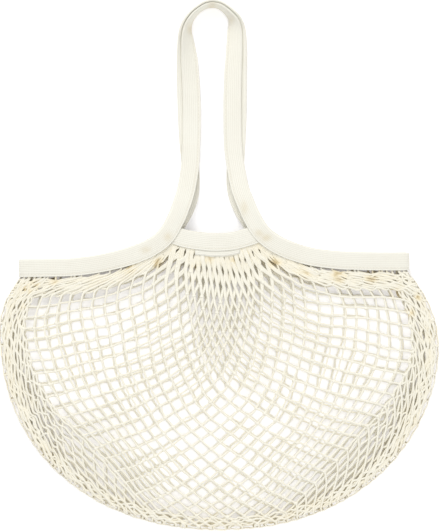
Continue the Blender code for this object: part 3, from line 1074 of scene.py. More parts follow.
    def edge_strand(self, depth: float, number: int) -> Strand:
        """A strand that runs along the whole rim, from one end of the mouth to the other.

        Args:
            depth: How far it lies inside the fold.
            number: Its number, which sets whether it swings out or in.

        Returns:
            The strand.
        """
        plan = self.plan
        runs = np.linspace(1.0, 0.0, self.line_samples)
        line = [plan.rim_to_mouth(run, -1, self.layer) for run in runs]
        line += [plan.rim_to_mouth(run, 1, self.layer) for run in runs[-2::-1]]
        middle_z = (plan.front_rim_z + plan.back_net_z) / 2
        swing_up, swing_out = self.fold_swing
        points, ups, painted_shade = [], [], []
        for k, xy in enumerate(evenly_spaced(np.array(line), self.yarn_step)):
            out = self.outward(xy)
            along = k * self.yarn_step
            uneven = noise_at(along / self.edge_scale, number * EDGE_NOISE_STEP, self.seed)
            turns = along / self.edge_pitch + number / 2 + self.edge_slip * uneven
            swing = self.edge_swing * (math.sin(2 * math.pi * turns) + self.edge_change * uneven)
            if depth < 0:
                point = np.array([*xy, middle_z]) + out * (self.rim_radius() + swing_out * swing)
                points.append(point + np.array([0.0, 0.0, swing_up * swing]))
                ups.append(out)
            else:
                x, y = (xy - out[:2] * (depth + swing))[:2]
                z = plan.net_z(x, y, self.layer) + self.edge_change * uneven
                points.append(np.array([x, y, z]))
                ups.append(np.array([0.0, 0.0, 1.0]))
            painted_shade.append(self.shade(points[-1][0], points[-1][1], uneven))
        return Strand(np.array(points), np.array(ups), np.array(painted_shade))

    def add_strand(self, bm: bmesh.types.BMesh, strand: Strand, number: int) -> None:
        """Rolls a grid into a yarn along a strand.

        Args:
            bm: The mesh that it is added to.
            strand: The strand.
            number: Its number, for its own small changes of width.
        """
        count, sides = len(strand.points), self.yarn_sides
        length = lengths_along(strand.points)
        tangents = np.gradient(strand.points, axis=0)
        rings = []
        for i in range(count):
            along = unit(tangents[i])
            across = unit(np.cross(along, strand.ups[i]))
            up = np.cross(across, along)
            uneven = noise_at(length[i] / self.width_scale, number * WIDTH_NOISE_STEP, self.seed)
            swell = 1 + self.width_change * uneven
            ring = []
            for j in range(sides + 1):
                angle = 2 * math.pi * j / sides
                reach = across * math.cos(angle) * self.yarn_width / 2
                reach = reach + up * math.sin(angle) * self.yarn_height / 2
                ring.append(strand.points[i] + reach * swell)
            rings.append(ring)
        shades = [[float(painted_shade)] * (sides + 1) for painted_shade in strand.painted_shade]
        part = lay_grid(rings, shades, length, np.linspace(0.0, self.girth, sides + 1))
        seam = {part.verts[i + sides * count]: part.verts[i] for i in range(count)}
        bmesh.ops.weld_verts(part, targetmap=seam)
        bmesh.ops.holes_fill(part, edges=part.edges, sides=sides)
        append(bm, part)

    def build_strands(self, material: Material) -> tuple[bpy.types.Object, float]:
        """Builds all strands of the layer as one piece.

        Args:
            material: The yarn.

        Returns:
            The piece, and the length of all its strands.
        """
        bm = bmesh.new()
        strands = [self.edge_strand(depth, k) for k, depth in enumerate(self.own(self.edges))]
        for family in Family:
            strands += [self.strand(family, share, k) for k, share in enumerate(self.shares())]
            for twin in (1, 2):
                strands += [self.strand(family, share, 0, twin) for share in self.twin_shares()]
        for number, strand in enumerate(strands):
            self.add_strand(bm, strand, number)
        bmesh.ops.recalc_face_normals(bm, faces=bm.faces)
        length = sum(float(lengths_along(strand.points)[-1]) for strand in strands)
        return finish_piece(f"{self.layer.value}_net", bm, material), length

    def build_knots(self, material: Material) -> bpy.types.Object:
        """Builds the knots at the crossings of the open net as one piece.

        Args:
            material: The yarn.

        Returns:
            The piece.
        """
        lines = list(enumerate(self.open_shares))
        crossings = {(i, j): self.place(a, b) for i, a in lines for j, b in lines}
        places = []
        for (i, j), xy in crossings.items():
            if (i + 1, j) not in crossings or (i, j + 1) not in crossings:
                continue
            first, second = crossings[i + 1, j] - xy, crossings[i, j + 1] - xy
            across = abs(first[0] * second[1] - first[1] * second[0])
            room = across / max(np.linalg.norm(first), np.linalg.norm(second))
            hidden = self.plan.below_mouth(xy[0], xy[1], self.layer) < self.knot_below_tape
            hidden = hidden or self.plan.rim_distance(xy[0], xy[1]) < self.edge_inset
            if room < self.knot_room or hidden:
                continue
            step = KNOT_NOISE_STEPS
            lean = noise_at(i * step[0], j * step[1], self.seed)
            slants = lean > self.knot_slant_from
            along = unit(unit(first) - unit(second)) if slants else unit(first)
            angle = math.atan2(along[1], along[0]) + self.knot_lean * lean
            turn = Matrix.Rotation(angle, 4, "Z")
            z = self.plan.net_z(xy[0], xy[1], self.layer) + self.knot_lift
            swell = Matrix.Scale(1 + self.knot_change * lean, 4)
            places.append(Matrix.Translation(Vector((xy[0], xy[1], z)) * MM) @ turn @ swell)
        bm = bmesh.new()
        repeat(bm, small_lump(self.knot_size, *self.knot_mesh), places)
        # The knots take the painted shade of the strands around them.
        depth = bm.verts.layers.float.new(PAINTED_SHADE)
        for vert in bm.verts:
            vert[depth] = self.shade(vert.co.x / MM, vert.co.y / MM, self.knot_rise)
        return finish_piece(f"{self.layer.value}_knots", bm, material)

    def build(self, material: Material) -> None:
        net, length = self.build_strands(material)
        knots = self.build_knots(material)
        dress(net, ["net_bag"])
        dress(knots)
        log.info("%s net: %.1f m of strands", self.layer.value, length * MM)


def append(bm: bmesh.types.BMesh, part: bmesh.types.BMesh) -> None:
    """Adds a small mesh to a larger one, and frees the small one."""
    mesh = bpy.data.meshes.new("part")
    part.to_mesh(mesh)
    part.free()
    bm.from_mesh(mesh)
    bpy.data.meshes.remove(mesh)


def small_lump(size: Sequence[float], segments: int, rings: int) -> bpy.types.Mesh:
    """A small rounded shape that is repeated, such as a knot or a stitch.

    Args:
        size: Its length, width and height, in millimetres.
        segments: Its sides round.
        rings: Its steps from pole to pole.

    Returns:
        Its mesh, with its middle at the origin.
    """
    bm = bmesh.new()
    bm.loops.layers.uv.new(UV_NAME)
    bmesh.ops.create_uvsphere(
        bm,
        u_segments=segments,
        v_segments=rings,
        radius=0.5 * MM,
        matrix=Matrix.Diagonal((*size, 1.0)),
        calc_uvs=True,
    )
    mesh = bpy.data.meshes.new("lump")
    uv = bm.loops.layers.uv.active
    for face in bm.faces:
        for loop in face.loops:
            loop[uv].uv = loop[uv].uv * size[0] * MM
    bm.to_mesh(mesh)
    bm.free()
    return mesh


def repeat(bm: bmesh.types.BMesh, shape: bpy.types.Mesh, places: Iterable[Matrix]) -> None:
    """Adds a copy of a small shape at each place, and removes the shape.

    Args:
        bm: The mesh that they are added to.
        shape: The small shape.
        places: Where each copy goes, and how it is turned.
    """
    for place in places:
        copy = shape.copy()
        copy.transform(place)
        bm.from_mesh(copy)
        bpy.data.meshes.remove(copy)
    bpy.data.meshes.remove(shape)


@dataclass(frozen=True)
class Station:
    """A point of a folded tape's middle line.

    Attributes:
        place: Where its middle lies.
        across: Direction to its folded edge.
        slot: Width of the slot between its two leaves.
        loose: 0 where it is sewn to the net, 1 where it hangs free as a handle.
    """

    place: Point
    across: Point
    slot: float
    loose: float


@dataclass
class FoldedTape:
    """A cotton tape folded lengthwise over an edge and sewn through both leaves.

    Attributes:
        name: The name of its cloth.
        plan: How the bag lies.
        width: Width of the folded tape.
        thick: Thickness of the cloth.
        step: Distance between its cross sections.
        leaf_stops: Places of a leaf's points, as shares of the way from the open edge.
        fold_turns: Turns of the fold's points, in degrees.
        edge_wobble: How far the open edge wanders.
        edge_scale: Distance over which it does.
        billow: How far the leaves' middles stand out.
        billow_scale: Distance over which that changes.
        sewn_billow: Share of it that is left where the tape is sewn to the net.
        sewn_pinch: How far the stitches draw each leaf in.
        pinch_width: How far beside the stitches that reaches.
        stitch_inset: Distance of the stitches from the open edge.
        stitch_pitch: Distance from one stitch to the next.
        stitch_size: Length, width and height of a stitch.
        stitch_rise: How far a stitch's middle lies above the cloth.
        stitch_mesh: Its sides, and its steps from pole to pole.
        crease_shade_spots: Spots of painted shade at the cloth's creases, each as x, y, half its width
            and half its height.
        front_above: Height that tells the front of the bag from its back.
        seed: Number that sets its noise.
        back_seed: What is added to it on the back.
    """

    name: str
    plan: BagPlan
    width: float = 18.0
    thick: float = 0.8
    step: float = 3.0
    leaf_stops: tuple[float, ...] = (0.0, 0.04, 0.13, 0.3, 0.5, 0.7, 0.86, 0.95)
    fold_turns: tuple[float, ...] = (90.0, 60.0, 30.0, 0.0, -30.0, -60.0, -90.0)
    edge_wobble: float = 0.35
    edge_scale: float = 23.0
    billow: float = 0.3
    billow_scale: float = 31.0
    sewn_billow: float = 0.4
    sewn_pinch: float = 0.3
    pinch_width: float = 2.0
    stitch_inset: float = 2.3
    stitch_pitch: float = 3.4
    stitch_size: Triple = (2.8, 0.55, 0.5)
    stitch_rise: float = 0.02
    stitch_mesh: tuple[int, int] = (6, 4)
    # Spots of painted shade at the cloth's creases.
    crease_shade_spots: tuple[tuple[float, float, float, float], ...] = (
        (46.0, 3.0, 9.0, 6.0),
        (38.0, 8.0, 6.0, 6.0),
        (-74.0, -9.0, 9.0, 5.0),
        (-52.0, 4.0, 7.0, 7.0),
        (24.0, 33.0, 5.0, 12.0),
        (-30.0, 212.0, 6.0, 9.0),
        (12.0, 221.0, 5.0, 6.0),
        (-8.0, 235.0, 7.0, 4.0),
    )
    front_above: float = 6.0
    seed: float = 1.9
    back_seed: float = 4.0

    def profile(self, slot: float, shift: float, puff: float) -> list[Pair]:
        """Middle surface of the folded tape.

        Args:
            slot: Width of the slot between the leaves.
            shift: How far the open edge has wandered.
            puff: How far the leaves' middles billow.

        Returns:
            Distance across from the middle line, and up, for each point from the open
            edge of the upper leaf over the fold to that of the lower leaf.
        """
        half = (slot + self.thick) / 2
        fold = self.width / 2 - self.thick / 2 - half
        start = -self.width / 2 + shift
        upper = []
        for stop in self.leaf_stops:
            w = start + (fold - start) * stop
            pinch = self.sewn_pinch * bump(w - start - self.stitch_inset, self.pinch_width)
            upper.append((w, half + puff * math.sin(math.pi * stop) ** 2 - pinch))
        turns = [math.radians(turn) for turn in self.fold_turns]
        bend = [(fold + half * math.cos(t), half * math.sin(t)) for t in turns]
        lower = [(w, -h) for w, h in reversed(upper)]
        return [*upper, *bend, *lower]

    def shade(self, point: Point) -> float:
        """How deep the painted shade at the cloth's creases is at a point, from 0 to 1."""
        spots = (
            bump(math.hypot((point[0] - x) / width, (point[1] - y) / height), 1.0)
            for x, y, width, height in self.crease_shade_spots
        )
        return max(spots)

    def stations(self) -> list[Station]:
        """Stations along the tape; each kind of tape lays its own."""
        raise NotImplementedError

    def is_loop(self) -> bool:
        """Whether the tape's end is joined to its start."""
        return False

    def sections(self) -> list[list[Point]]:
        """The tape's cross sections, with its small unevenness."""
        stations = self.stations()
        count = len(stations)
        made = []
        for k, station in enumerate(stations):
            if self.is_loop():
                before, after = stations[k - 1], stations[(k + 1) % count]
            else:
                before, after = stations[max(k - 1, 0)], stations[min(k + 1, count - 1)]
            along = unit(after.place - before.place)
            up = unit(np.cross(along, station.across))
            x, y = float(station.place[0]), float(station.place[1])
            is_front = station.place[2] > self.front_above
            level = self.seed if is_front else self.seed + self.back_seed
            shift = self.edge_wobble * wander((x, y), self.edge_scale, level).x
            puff = self.billow * abs(wander((x, y), self.billow_scale, level + BILLOW_NOISE_STEP).y)
            puff *= self.sewn_billow + (1 - self.sewn_billow) * station.loose
            profile = self.profile(station.slot, shift, puff)
            made.append([station.place + station.across * w + up * h for w, h in profile])
        return made

    def build_cloth(self, material: Material) -> tuple[bpy.types.Object, Pair]:
        """Lays a grid over the cross sections and gives it the cloth's thickness.

        Args:
            material: The tape's finish.

        Returns:
            The piece, and the width and length that its cloth is cut to.
        """
        sections = self.sections()
        if self.is_loop():
            sections.append(sections[0])
        shades = [[self.shade(point) for point in section] for section in sections]
        along = lengths_along(np.array([section[len(section) // 2] for section in sections]))
        across = lengths_along(np.array(self.profile(self.plan.net_slot, 0.0, 0.0)))
        bm = lay_grid(sections, shades, along, across)
        if self.is_loop():
            count = len(sections)
            rows = range(0, len(across) * count, count)
            seam = {bm.verts[row + count - 1]: bm.verts[row] for row in rows}
            bmesh.ops.weld_verts(bm, targetmap=seam)
        bmesh.ops.recalc_face_normals(bm, faces=bm.faces)
        piece = finish_piece(self.name, bm, material)
        thicken(piece, self.thick)
        return piece, (float(across[-1]), float(along[-1]))

    def build_stitches(self, material: Material) -> bpy.types.Object:
        """Sews a row of stitches along the open edge, on the outer face of the tape.

        Args:
            material: The thread.

        Returns:
            The piece.
        """
        stations = self.stations()
        if self.is_loop():
            stations.append(stations[0])
        line = []
        for before, station, after in zip(stations, stations[1:], stations[2:]):
            up = unit(np.cross(unit(after.place - before.place), station.across))
            height = station.slot / 2 + self.thick + self.stitch_rise - self.sewn_pinch
            inset = station.across * (self.stitch_inset - self.width / 2)
            line.append(np.concatenate([station.place + inset, up * height]))
        line = evenly_spaced(np.array(line), self.stitch_pitch)
        places = []
        for k in range(1, len(line) - 1):
            along = unit(line[k + 1][:3] - line[k - 1][:3])
            up = unit(line[k][3:])
            axes = Matrix((along, np.cross(up, along), up)).transposed().to_4x4()
            for face in (1.0, -1.0):
                spot = Vector(line[k][:3] + face * line[k][3:]) * MM
                places.append(Matrix.Translation(spot) @ axes)
        bm = bmesh.new()
        repeat(bm, small_lump(self.stitch_size, *self.stitch_mesh), places)
        return finish_piece(f"{self.name}_stitches", bm, material)

    def sew(self, node: str, cloth: Material, thread: Material) -> None:
        """Args:
            node: The CAD node that it replaces.
            cloth: The tape's finish.
            thread: The stitches' finish.
        """
        tape, (width, length) = self.build_cloth(cloth)
        stitches = self.build_stitches(thread)
        dress(tape, [node])
        dress(stitches)
        log.info("%s: cut %.0f x %.0f mm", self.name, width, length)


@dataclass
class LongTape(FoldedTape):
    """The long tape: both sides of the mouth and both handles, in one closed loop.

    Attributes:
        handle_slot: Width of its slot in the handles, where it holds nothing.
        handle_gap: Gap between the handles where they lie on one another.
        handle_lift: Height of the back handle above the floor.
        end_steps: Steps of its turn round an end of the mouth.
        route: Its middle line on the front, from the left end of the mouth over the handle
            to the right one. Each row is x, y, roll in degrees, how far the back handle
            lies beside the front one, and how much of the tape belongs to the mouth.
    """

    handle_slot: float = 0.5
    handle_gap: float = 0.45
    handle_lift: float = 0.15
    end_steps: int = 8
    route: tuple[tuple[float, float, float, float, float], ...] = (
        (-196.0, -27.0, 0.0, 0.0, 1.0),
        (-176.0, -26.8, 0.0, 0.0, 1.0),
        (-152.0, -26.4, 0.0, 0.0, 1.0),
        (-128.0, -23.8, 0.0, 0.0, 1.0),
        (-104.0, -19.0, 0.0, 0.0, 1.0),
        (-82.0, -12.3, 0.0, 0.0, 1.0),
        (-65.5, -4.5, 0.0, 0.0, 1.0),
        (-53.5, 6.0, 0.0, 0.0, 1.0),
        (-45.0, 20.0, 0.0, -1.5, 0.95),
        (-38.5, 36.0, 0.0, -4.0, 0.75),
        (-33.5, 53.0, 0.0, -4.0, 0.4),
        (-29.8, 76.0, 0.0, 0.0, 0.1),
        (-28.5, 101.0, 0.0, 3.5, 0.0),
        (-28.2, 126.0, 3.0, 5.0, 0.0),
        (-28.8, 151.0, 10.0, 5.0, 0.0),
        (-29.8, 168.0, 18.0, 4.5, 0.0),
        (-30.3, 175.0, 23.0, 4.0, 0.0),
        (-30.8, 181.5, 28.5, 3.8, 0.0),
        (-31.3, 188.0, 35.0, 3.6, 0.0),
        (-32.0, 195.0, 43.5, 3.3, 0.0),
        (-32.8, 203.0, 54.0, 3.0, 0.0),
        (-32.8, 211.0, 66.0, 2.5, 0.0),
        (-30.6, 218.5, 75.0, 2.0, 0.0),
        (-26.2, 225.5, 81.0, 1.5, 0.0),
        (-20.0, 231.0, 84.0, 1.0, 0.0),
        (-13.5, 234.7, 84.0, 1.0, 0.0),
        (-6.5, 235.7, 84.0, 1.0, 0.0),
        (0.0, 234.0, 82.0, 1.0, 0.0),
        (6.0, 229.8, 79.0, 1.5, 0.0),
        (11.0, 224.3, 72.0, 2.0, 0.0),
        (14.0, 218.0, 56.0, 2.5, 0.0),
        (14.8, 211.0, 42.0, 3.0, 0.0),
        (14.8, 201.0, 34.0, 3.5, 0.0),
        (14.2, 187.0, 26.0, 4.0, 0.0),
        (13.2, 168.0, 16.0, 4.5, 0.0),
        (12.6, 145.0, 8.0, 5.0, 0.0),
        (12.5, 118.0, 0.0, 5.0, 0.0),
        (13.0, 96.0, 0.0, 3.5, 0.0),
        (15.5, 76.0, 0.0, 0.0, 0.1),
        (19.8, 54.0, 0.0, -4.0, 0.4),
        (25.5, 38.0, 0.0, -4.0, 0.75),
        (32.5, 22.5, 0.0, -1.5, 0.95),
        (41.5, 8.5, 0.0, 0.0, 1.0),
        (53.0, -1.0, 0.0, 0.0, 1.0),
        (69.0, -9.0, 0.0, 0.0, 1.0),
        (90.0, -15.5, 0.0, 0.0, 1.0),
        (116.0, -18.8, 0.0, 0.0, 1.0),
        (142.0, -20.0, 0.0, 0.0, 1.0),
        (166.0, -20.3, 0.0, 0.0, 1.0),
        (184.0, -20.3, 0.0, 0.0, 1.0),
    )

    def is_loop(self) -> bool:
        """The long tape is sewn into a ring."""
        return True

    def two_lines(self) -> tuple[list[Station], list[Station]]:
        """Stations of the front and of the back, both from left to right.

        Returns:
            The front's stations and the back's.
        """
        plan = self.plan
        rows = curve_through(self.route, self.step)
        sky = np.array([0.0, 0.0, 1.0])
        front, back = [], []
        for k, (x, y, roll, shift, share) in enumerate(rows):
            outward = left_of(rows, k)
            sine, cosine = math.sin(math.radians(roll)), math.cos(math.radians(roll))
            across = cosine * outward + sine * sky
            face = cosine * sky - sine * outward
            slot = share * plan.mouth_slot(x) + (1 - share) * self.handle_slot
            thick = slot + 2 * self.thick
            apart = thick + self.handle_gap
            rise = apart * cosine - shift * sine
            lowest = self.width / 2 * sine + thick / 2 * cosine
            lowest += (1 - share) * self.handle_lift
            place = np.array([x, y, lowest + max(0.0, rise)])
            behind = place - apart * face + shift * across
            behind[1] -= share * plan.back_drop(x)
            place[2] += share * (plan.mouth_z(x, Layer.FRONT) - place[2])
            front.append(Station(place, across, slot, 1 - share))
            back.append(Station(behind, across, slot, 1 - share))
        return front, back

    def turn_back(self, front: Station, back: Station, side: int) -> list[Station]:
        """The tape's turn from the front of the mouth to the back, at one end."""
        middle, radius = (front.place + back.place) / 2, (front.place - back.place) / 2
        out = np.array([side * np.linalg.norm(radius), 0.0, 0.0])
        made = []
        for k in range(1, self.end_steps):
            swing = math.pi * k / self.end_steps
            place = middle + radius * math.cos(swing) + out * math.sin(swing)
            made.append(Station(place, front.across, front.slot, 0.0))
        return made

    def stations(self) -> list[Station]:
        """Front, right end, back and left end, in one ring."""
        front, back = self.two_lines()
        right = self.turn_back(front[-1], back[-1], 1)
        left = self.turn_back(front[0], back[0], -1)
        return front + right + back[::-1] + left[::-1]

    def build(self, cloth: Material, thread: Material) -> None:
        """Builds the long tape with its stitches."""
        self.sew("long_tape", cloth, thread)


@dataclass
class MiddleTape(FoldedTape):
    """A short tape that binds the gathered net between the handle's legs.

    Attributes:
        layer: The layer whose mouth it binds.
        facing_ends: Left and right end of the facing below the front tape.
        facing_reach: How far the facing shows below the tape.
        facing_inside: How far it reaches up inside the tape.
        facing_mesh: Steps of its mesh across and along.
        facing_ragged: How uneven its lower edge is.
        facing_scale: Distance over which that changes.
        facing_lift: Height of its part inside the tape above the net's middle.
        facing_rise: How much higher its lower edge lies.
        facing_rise_start: How far above the tape's edge it begins to rise.
        facing_rise_length: Distance over which it does.
        facing_weave: Where its upper and lower edges lie across the tape's ribs.
        facing_thick: Thickness of its cloth.
        route: The tape's middle line on the front, from left to right.
    """

    layer: Layer = Layer.FRONT
    facing_ends: Pair = (-25.0, 20.0)
    facing_reach: float = 5.6
    facing_inside: float = 5.4
    facing_mesh: tuple[int, int] = (6, 24)
    facing_ragged: float = 0.5
    facing_scale: float = 7.0
    facing_lift: float = 0.5
    facing_rise: float = 0.6
    facing_rise_start: float = 2.0
    facing_rise_length: float = 5.0
    facing_weave: Pair = (4.0, 15.0)
    facing_thick: float = 0.4
    route: tuple[Pair, ...] = (
        (-47.0, 6.5),
        (-36.0, 2.8),
        (-26.0, 0.7),
        (-9.0, -0.9),
        (1.0, -1.0),
        (12.0, -0.2),
        (22.0, 2.2),
        (34.0, 6.3),
        (43.0, 10.5),
    )

    def stations(self) -> list[Station]:
        """Stations from the left leg of the handle to the right one."""
        rows = curve_through(self.route, self.step)
        made = []
        for k, (x, y) in enumerate(rows):
            drop = 0.0 if self.layer.is_front else self.plan.back_drop(x)
            place = np.array([x, y - drop, self.plan.mouth_z(x, self.layer)])
            made.append(Station(place, left_of(rows, k), self.plan.net_slot, 0.0))
        return made

    def build_facing(self, cloth: Material) -> bpy.types.Object:
        """Lays the narrow facing that shows below the front tape's middle.

        Args:
            cloth: The tape's finish.

        Returns:
            The piece.
        """
        left, right = self.facing_ends
        rows, columns = self.facing_mesh
        sections = []
        for i in range(columns + 1):
            x = left + (right - left) * i / columns
            edge = self.plan.mouth_edge_y(x)
            low = self.plan.mouth_z(x, self.layer) + self.facing_lift
            ragged = self.facing_ragged * wander((x, 0.0), self.facing_scale, self.seed).x
            reach = self.facing_reach + ragged + self.facing_inside
            section = []
            for j in range(rows + 1):
                out = reach * j / rows - self.facing_inside
                risen = smooth_step((out + self.facing_rise_start) / self.facing_rise_length)
                section.append((x, edge - out, low + self.facing_rise * risen))
            sections.append(section)
        shades = [[0.0] * (rows + 1)] * (columns + 1)
        along = np.linspace(0.0, right - left, columns + 1)
        bm = lay_grid(sections, shades, along, np.linspace(*self.facing_weave, rows + 1))
        bmesh.ops.recalc_face_normals(bm, faces=bm.faces)
        piece = finish_piece("front_facing", bm, cloth)
        thicken(piece, self.facing_thick)
        return piece

    def build(self, cloth: Material, thread: Material) -> None:
        """Builds the tape with its stitches, and the facing below the front one."""
        self.sew(f"{self.layer.value}_middle_tape", cloth, thread)
        if self.layer.is_front:
            facing = self.build_facing(cloth)
            dress(facing)


class Nodes:
    """Short forms for building a node tree."""

    def __init__(self, tree: NodeTree) -> None:
        """Takes the tree that the nodes are added to."""
        self.tree = tree

    def add(self, kind: str, **values: object) -> bpy.types.Node:
        """Adds a node.

        Args:
            kind: Its type.
            values: Properties, or inputs whose names start with "in_".

        Returns:
            The node.
        """
        node = self.tree.nodes.new(kind)
        for name, value in values.items():
            if name.startswith("in_"):
                self.put(value, node.inputs[name[3:].replace("_", " ")])
            else:
                setattr(node, name, value)
        return node

    def put(self, value: object, target: Socket) -> None:
        """Links a socket, or sets a plain value."""
        if isinstance(value, Socket):
            self.tree.links.new(value, target)
        else:
            target.default_value = value

    def maths(self, operation: str, *terms: object) -> Socket:
        """A Math node's result."""
        node = self.add("ShaderNodeMath", operation=operation)
        for k, term in enumerate(terms):
            self.put(term, node.inputs[k])
        return node.outputs[0]

    def mix(self, factor: object, first: object, second: object) -> Socket:
        """The colour between two colours."""
        node = self.add("ShaderNodeMix", data_type="RGBA")
        self.put(factor, node.inputs["Factor"])
        for colour, target in zip((first, second), node.inputs[6:8]):
            self.put((*colour, 1.0) if isinstance(colour, tuple) else colour, target)
        return node.outputs[2]

    def noise(self, scale: object, detail: float = 2.0, roughness: float = 0.5) -> Socket:
        """A noise texture's value at the object's own place."""
        node = self.add("ShaderNodeTexNoise", in_Scale=scale, in_Detail=detail, in_Roughness=roughness)
        self.put(self.add("ShaderNodeTexCoord").outputs["Object"], node.inputs["Vector"])
        return node.outputs["Fac"]

    def weave_place(self) -> tuple[Socket, Socket]:
        """Lengths along and across the yarn or the cloth, in metres."""
        parts = self.add("ShaderNodeSeparateXYZ")
        self.put(self.add("ShaderNodeUVMap", uv_map=UV_NAME).outputs["UV"], parts.inputs["Vector"])
        return parts.outputs["X"], parts.outputs["Y"]

    def wave(self, phase: object, turns: float = 0.5) -> Socket:
        """The size of a sine wave, from 0 to 1, that makes so many turns in a phase of 1."""
        angle = self.maths("MULTIPLY", phase, 2 * math.pi * turns)
        return self.maths("ABSOLUTE", self.maths("SINE", angle))

    def finish(self, **results: Socket) -> None:
        """Adds a group's output node and links its results."""
        output = self.add("NodeGroupOutput")
        for name, value in results.items():
            self.put(value, output.inputs[name])


def new_group(name: str, inputs: dict[str, float], outputs: Sequence[str]) -> NodeTree:
    """An empty shader node group with its sockets.

    Args:
        name: The group's name.
        inputs: Its number inputs and what they are by default.
        outputs: Its number outputs.

    Returns:
        The group.
    """
    tree = bpy.data.node_groups.new(name, "ShaderNodeTree")
    for label, value in inputs.items():
        made = tree.interface.new_socket(label, in_out="INPUT", socket_type="NodeSocketFloat")
        made.default_value = value
    for label in outputs:
        tree.interface.new_socket(label, in_out="OUTPUT", socket_type="NodeSocketFloat")
    return tree


def cotton_mottle_group() -> NodeTree:
    """Undyed cotton's unevenness: slow changes of tone, and its short fibres.

    Returns:
        A group that gives Tone and Fibre from 0 to 1.
    """
    tree = new_group("cotton_mottle", {"Tone scale": 40.0, "Fibre scale": 1400.0}, ("Tone", "Fibre"))
    nodes = Nodes(tree)
    given = nodes.add("NodeGroupInput")
    tone = nodes.noise(given.outputs["Tone scale"], detail=3.0, roughness=0.6)
    fibre = nodes.noise(given.outputs["Fibre scale"], roughness=0.7)
    nodes.finish(Tone=tone, Fibre=fibre)
    return tree


def yarn_twist_group() -> NodeTree:
    """The plies of a twisted yarn, laid slantwise round it.

    Returns:
        A group that gives Ply, which is 1 on a ply and 0 between two.
    """
    sizes = {"Pitch": 0.0022, "Girth": 0.0071, "Wobble": 0.5, "Wobble scale": 260.0}
    tree = new_group("yarn_twist", sizes, ("Ply",))
    nodes = Nodes(tree)
    given = nodes.add("NodeGroupInput")
    along, around = nodes.weave_place()
    along = nodes.maths("DIVIDE", along, given.outputs["Pitch"])
    around = nodes.maths("DIVIDE", around, given.outputs["Girth"])
    wobble = nodes.noise(given.outputs["Wobble scale"])
    wobble = nodes.maths("MULTIPLY", wobble, given.outputs["Wobble"])
    phase = nodes.maths("ADD", nodes.maths("ADD", along, around), wobble)
    nodes.finish(Ply=nodes.wave(phase, turns=1.0))
    return tree


def knit_rib_group() -> NodeTree:
    """The lengthwise ribs of a knitted tape, with the small stitches on each.

    Returns:
        A group that gives Rib, Stitch and Seam, each from 0 to 1; Seam marks the groove
        that the sewing draws in beside the open edge, for the shade painted there.
    """
    sizes = {
        "Rib pitch": 0.0018,
        "Stitch pitch": 0.0016,
        "Wobble": 0.35,
        "Wobble scale": 120.0,
        "Seam inset": 0.0024,
        "Seam width": 0.0007,
    }
    tree = new_group("knit_rib", sizes, ("Rib", "Stitch", "Seam"))
    nodes = Nodes(tree)
    given = nodes.add("NodeGroupInput")
    length, width = nodes.weave_place()
    wobble = nodes.noise(given.outputs["Wobble scale"])
    wobble = nodes.maths("MULTIPLY", wobble, given.outputs["Wobble"])
    across = nodes.maths("DIVIDE", width, given.outputs["Rib pitch"])
    across = nodes.maths("ADD", across, wobble)
    slant = nodes.maths("PINGPONG", across, 0.5)
    along = nodes.maths("DIVIDE", length, given.outputs["Stitch pitch"])
    along = nodes.maths("ADD", along, slant)
    off = nodes.maths("SUBTRACT", width, given.outputs["Seam inset"])
    off = nodes.maths("DIVIDE", nodes.maths("ABSOLUTE", off), given.outputs["Seam width"])
    seam = nodes.maths("MAXIMUM", nodes.maths("SUBTRACT", 1.0, off), 0.0)
    nodes.finish(Rib=nodes.wave(across), Stitch=nodes.wave(along), Seam=seam)
    return tree


@dataclass(frozen=True)
class CottonGroups:
    """The shader node groups that the cotton finishes share."""

    mottle: NodeTree
    twist: NodeTree
    rib: NodeTree


def new_material(name: str) -> tuple[Material, Nodes, bpy.types.Node]:
    """A material with its Principled shader.

    Args:
        name: The material's name.

    Returns:
        The material, its nodes and its shader.
    """
    material = bpy.data.materials.new(name)
    material.use_nodes = True
    nodes = Nodes(material.node_tree)
    return material, nodes, material.node_tree.nodes["Principled BSDF"]


@dataclass(frozen=True)
class CottonShader:
    """What a cotton material is built with.

    Attributes:
        nodes: The material's nodes.
        groups: The shared node groups.
        tone: The mottle's slow changes, from 0 to 1.
        fibre: Its short fibres, from 0 to 1.
    """

    nodes: Nodes
    groups: CottonGroups
    tone: Socket
    fibre: Socket

    def group_output(self, group: NodeTree, name: str) -> Socket:
        """One of a shared group's results, all from one node."""
        node = self.nodes.tree.nodes.get(group.name)
        if node is None:
            node = self.nodes.add("ShaderNodeGroup", node_tree=group, name=group.name)
        return node.outputs[name]

    def painted_shade(self) -> Socket:
        """The painted shade that the mesh gives a place, among crowded strands and in spots on the
        tapes.
        """
        return self.nodes.add("ShaderNodeAttribute", attribute_name=PAINTED_SHADE).outputs["Fac"]


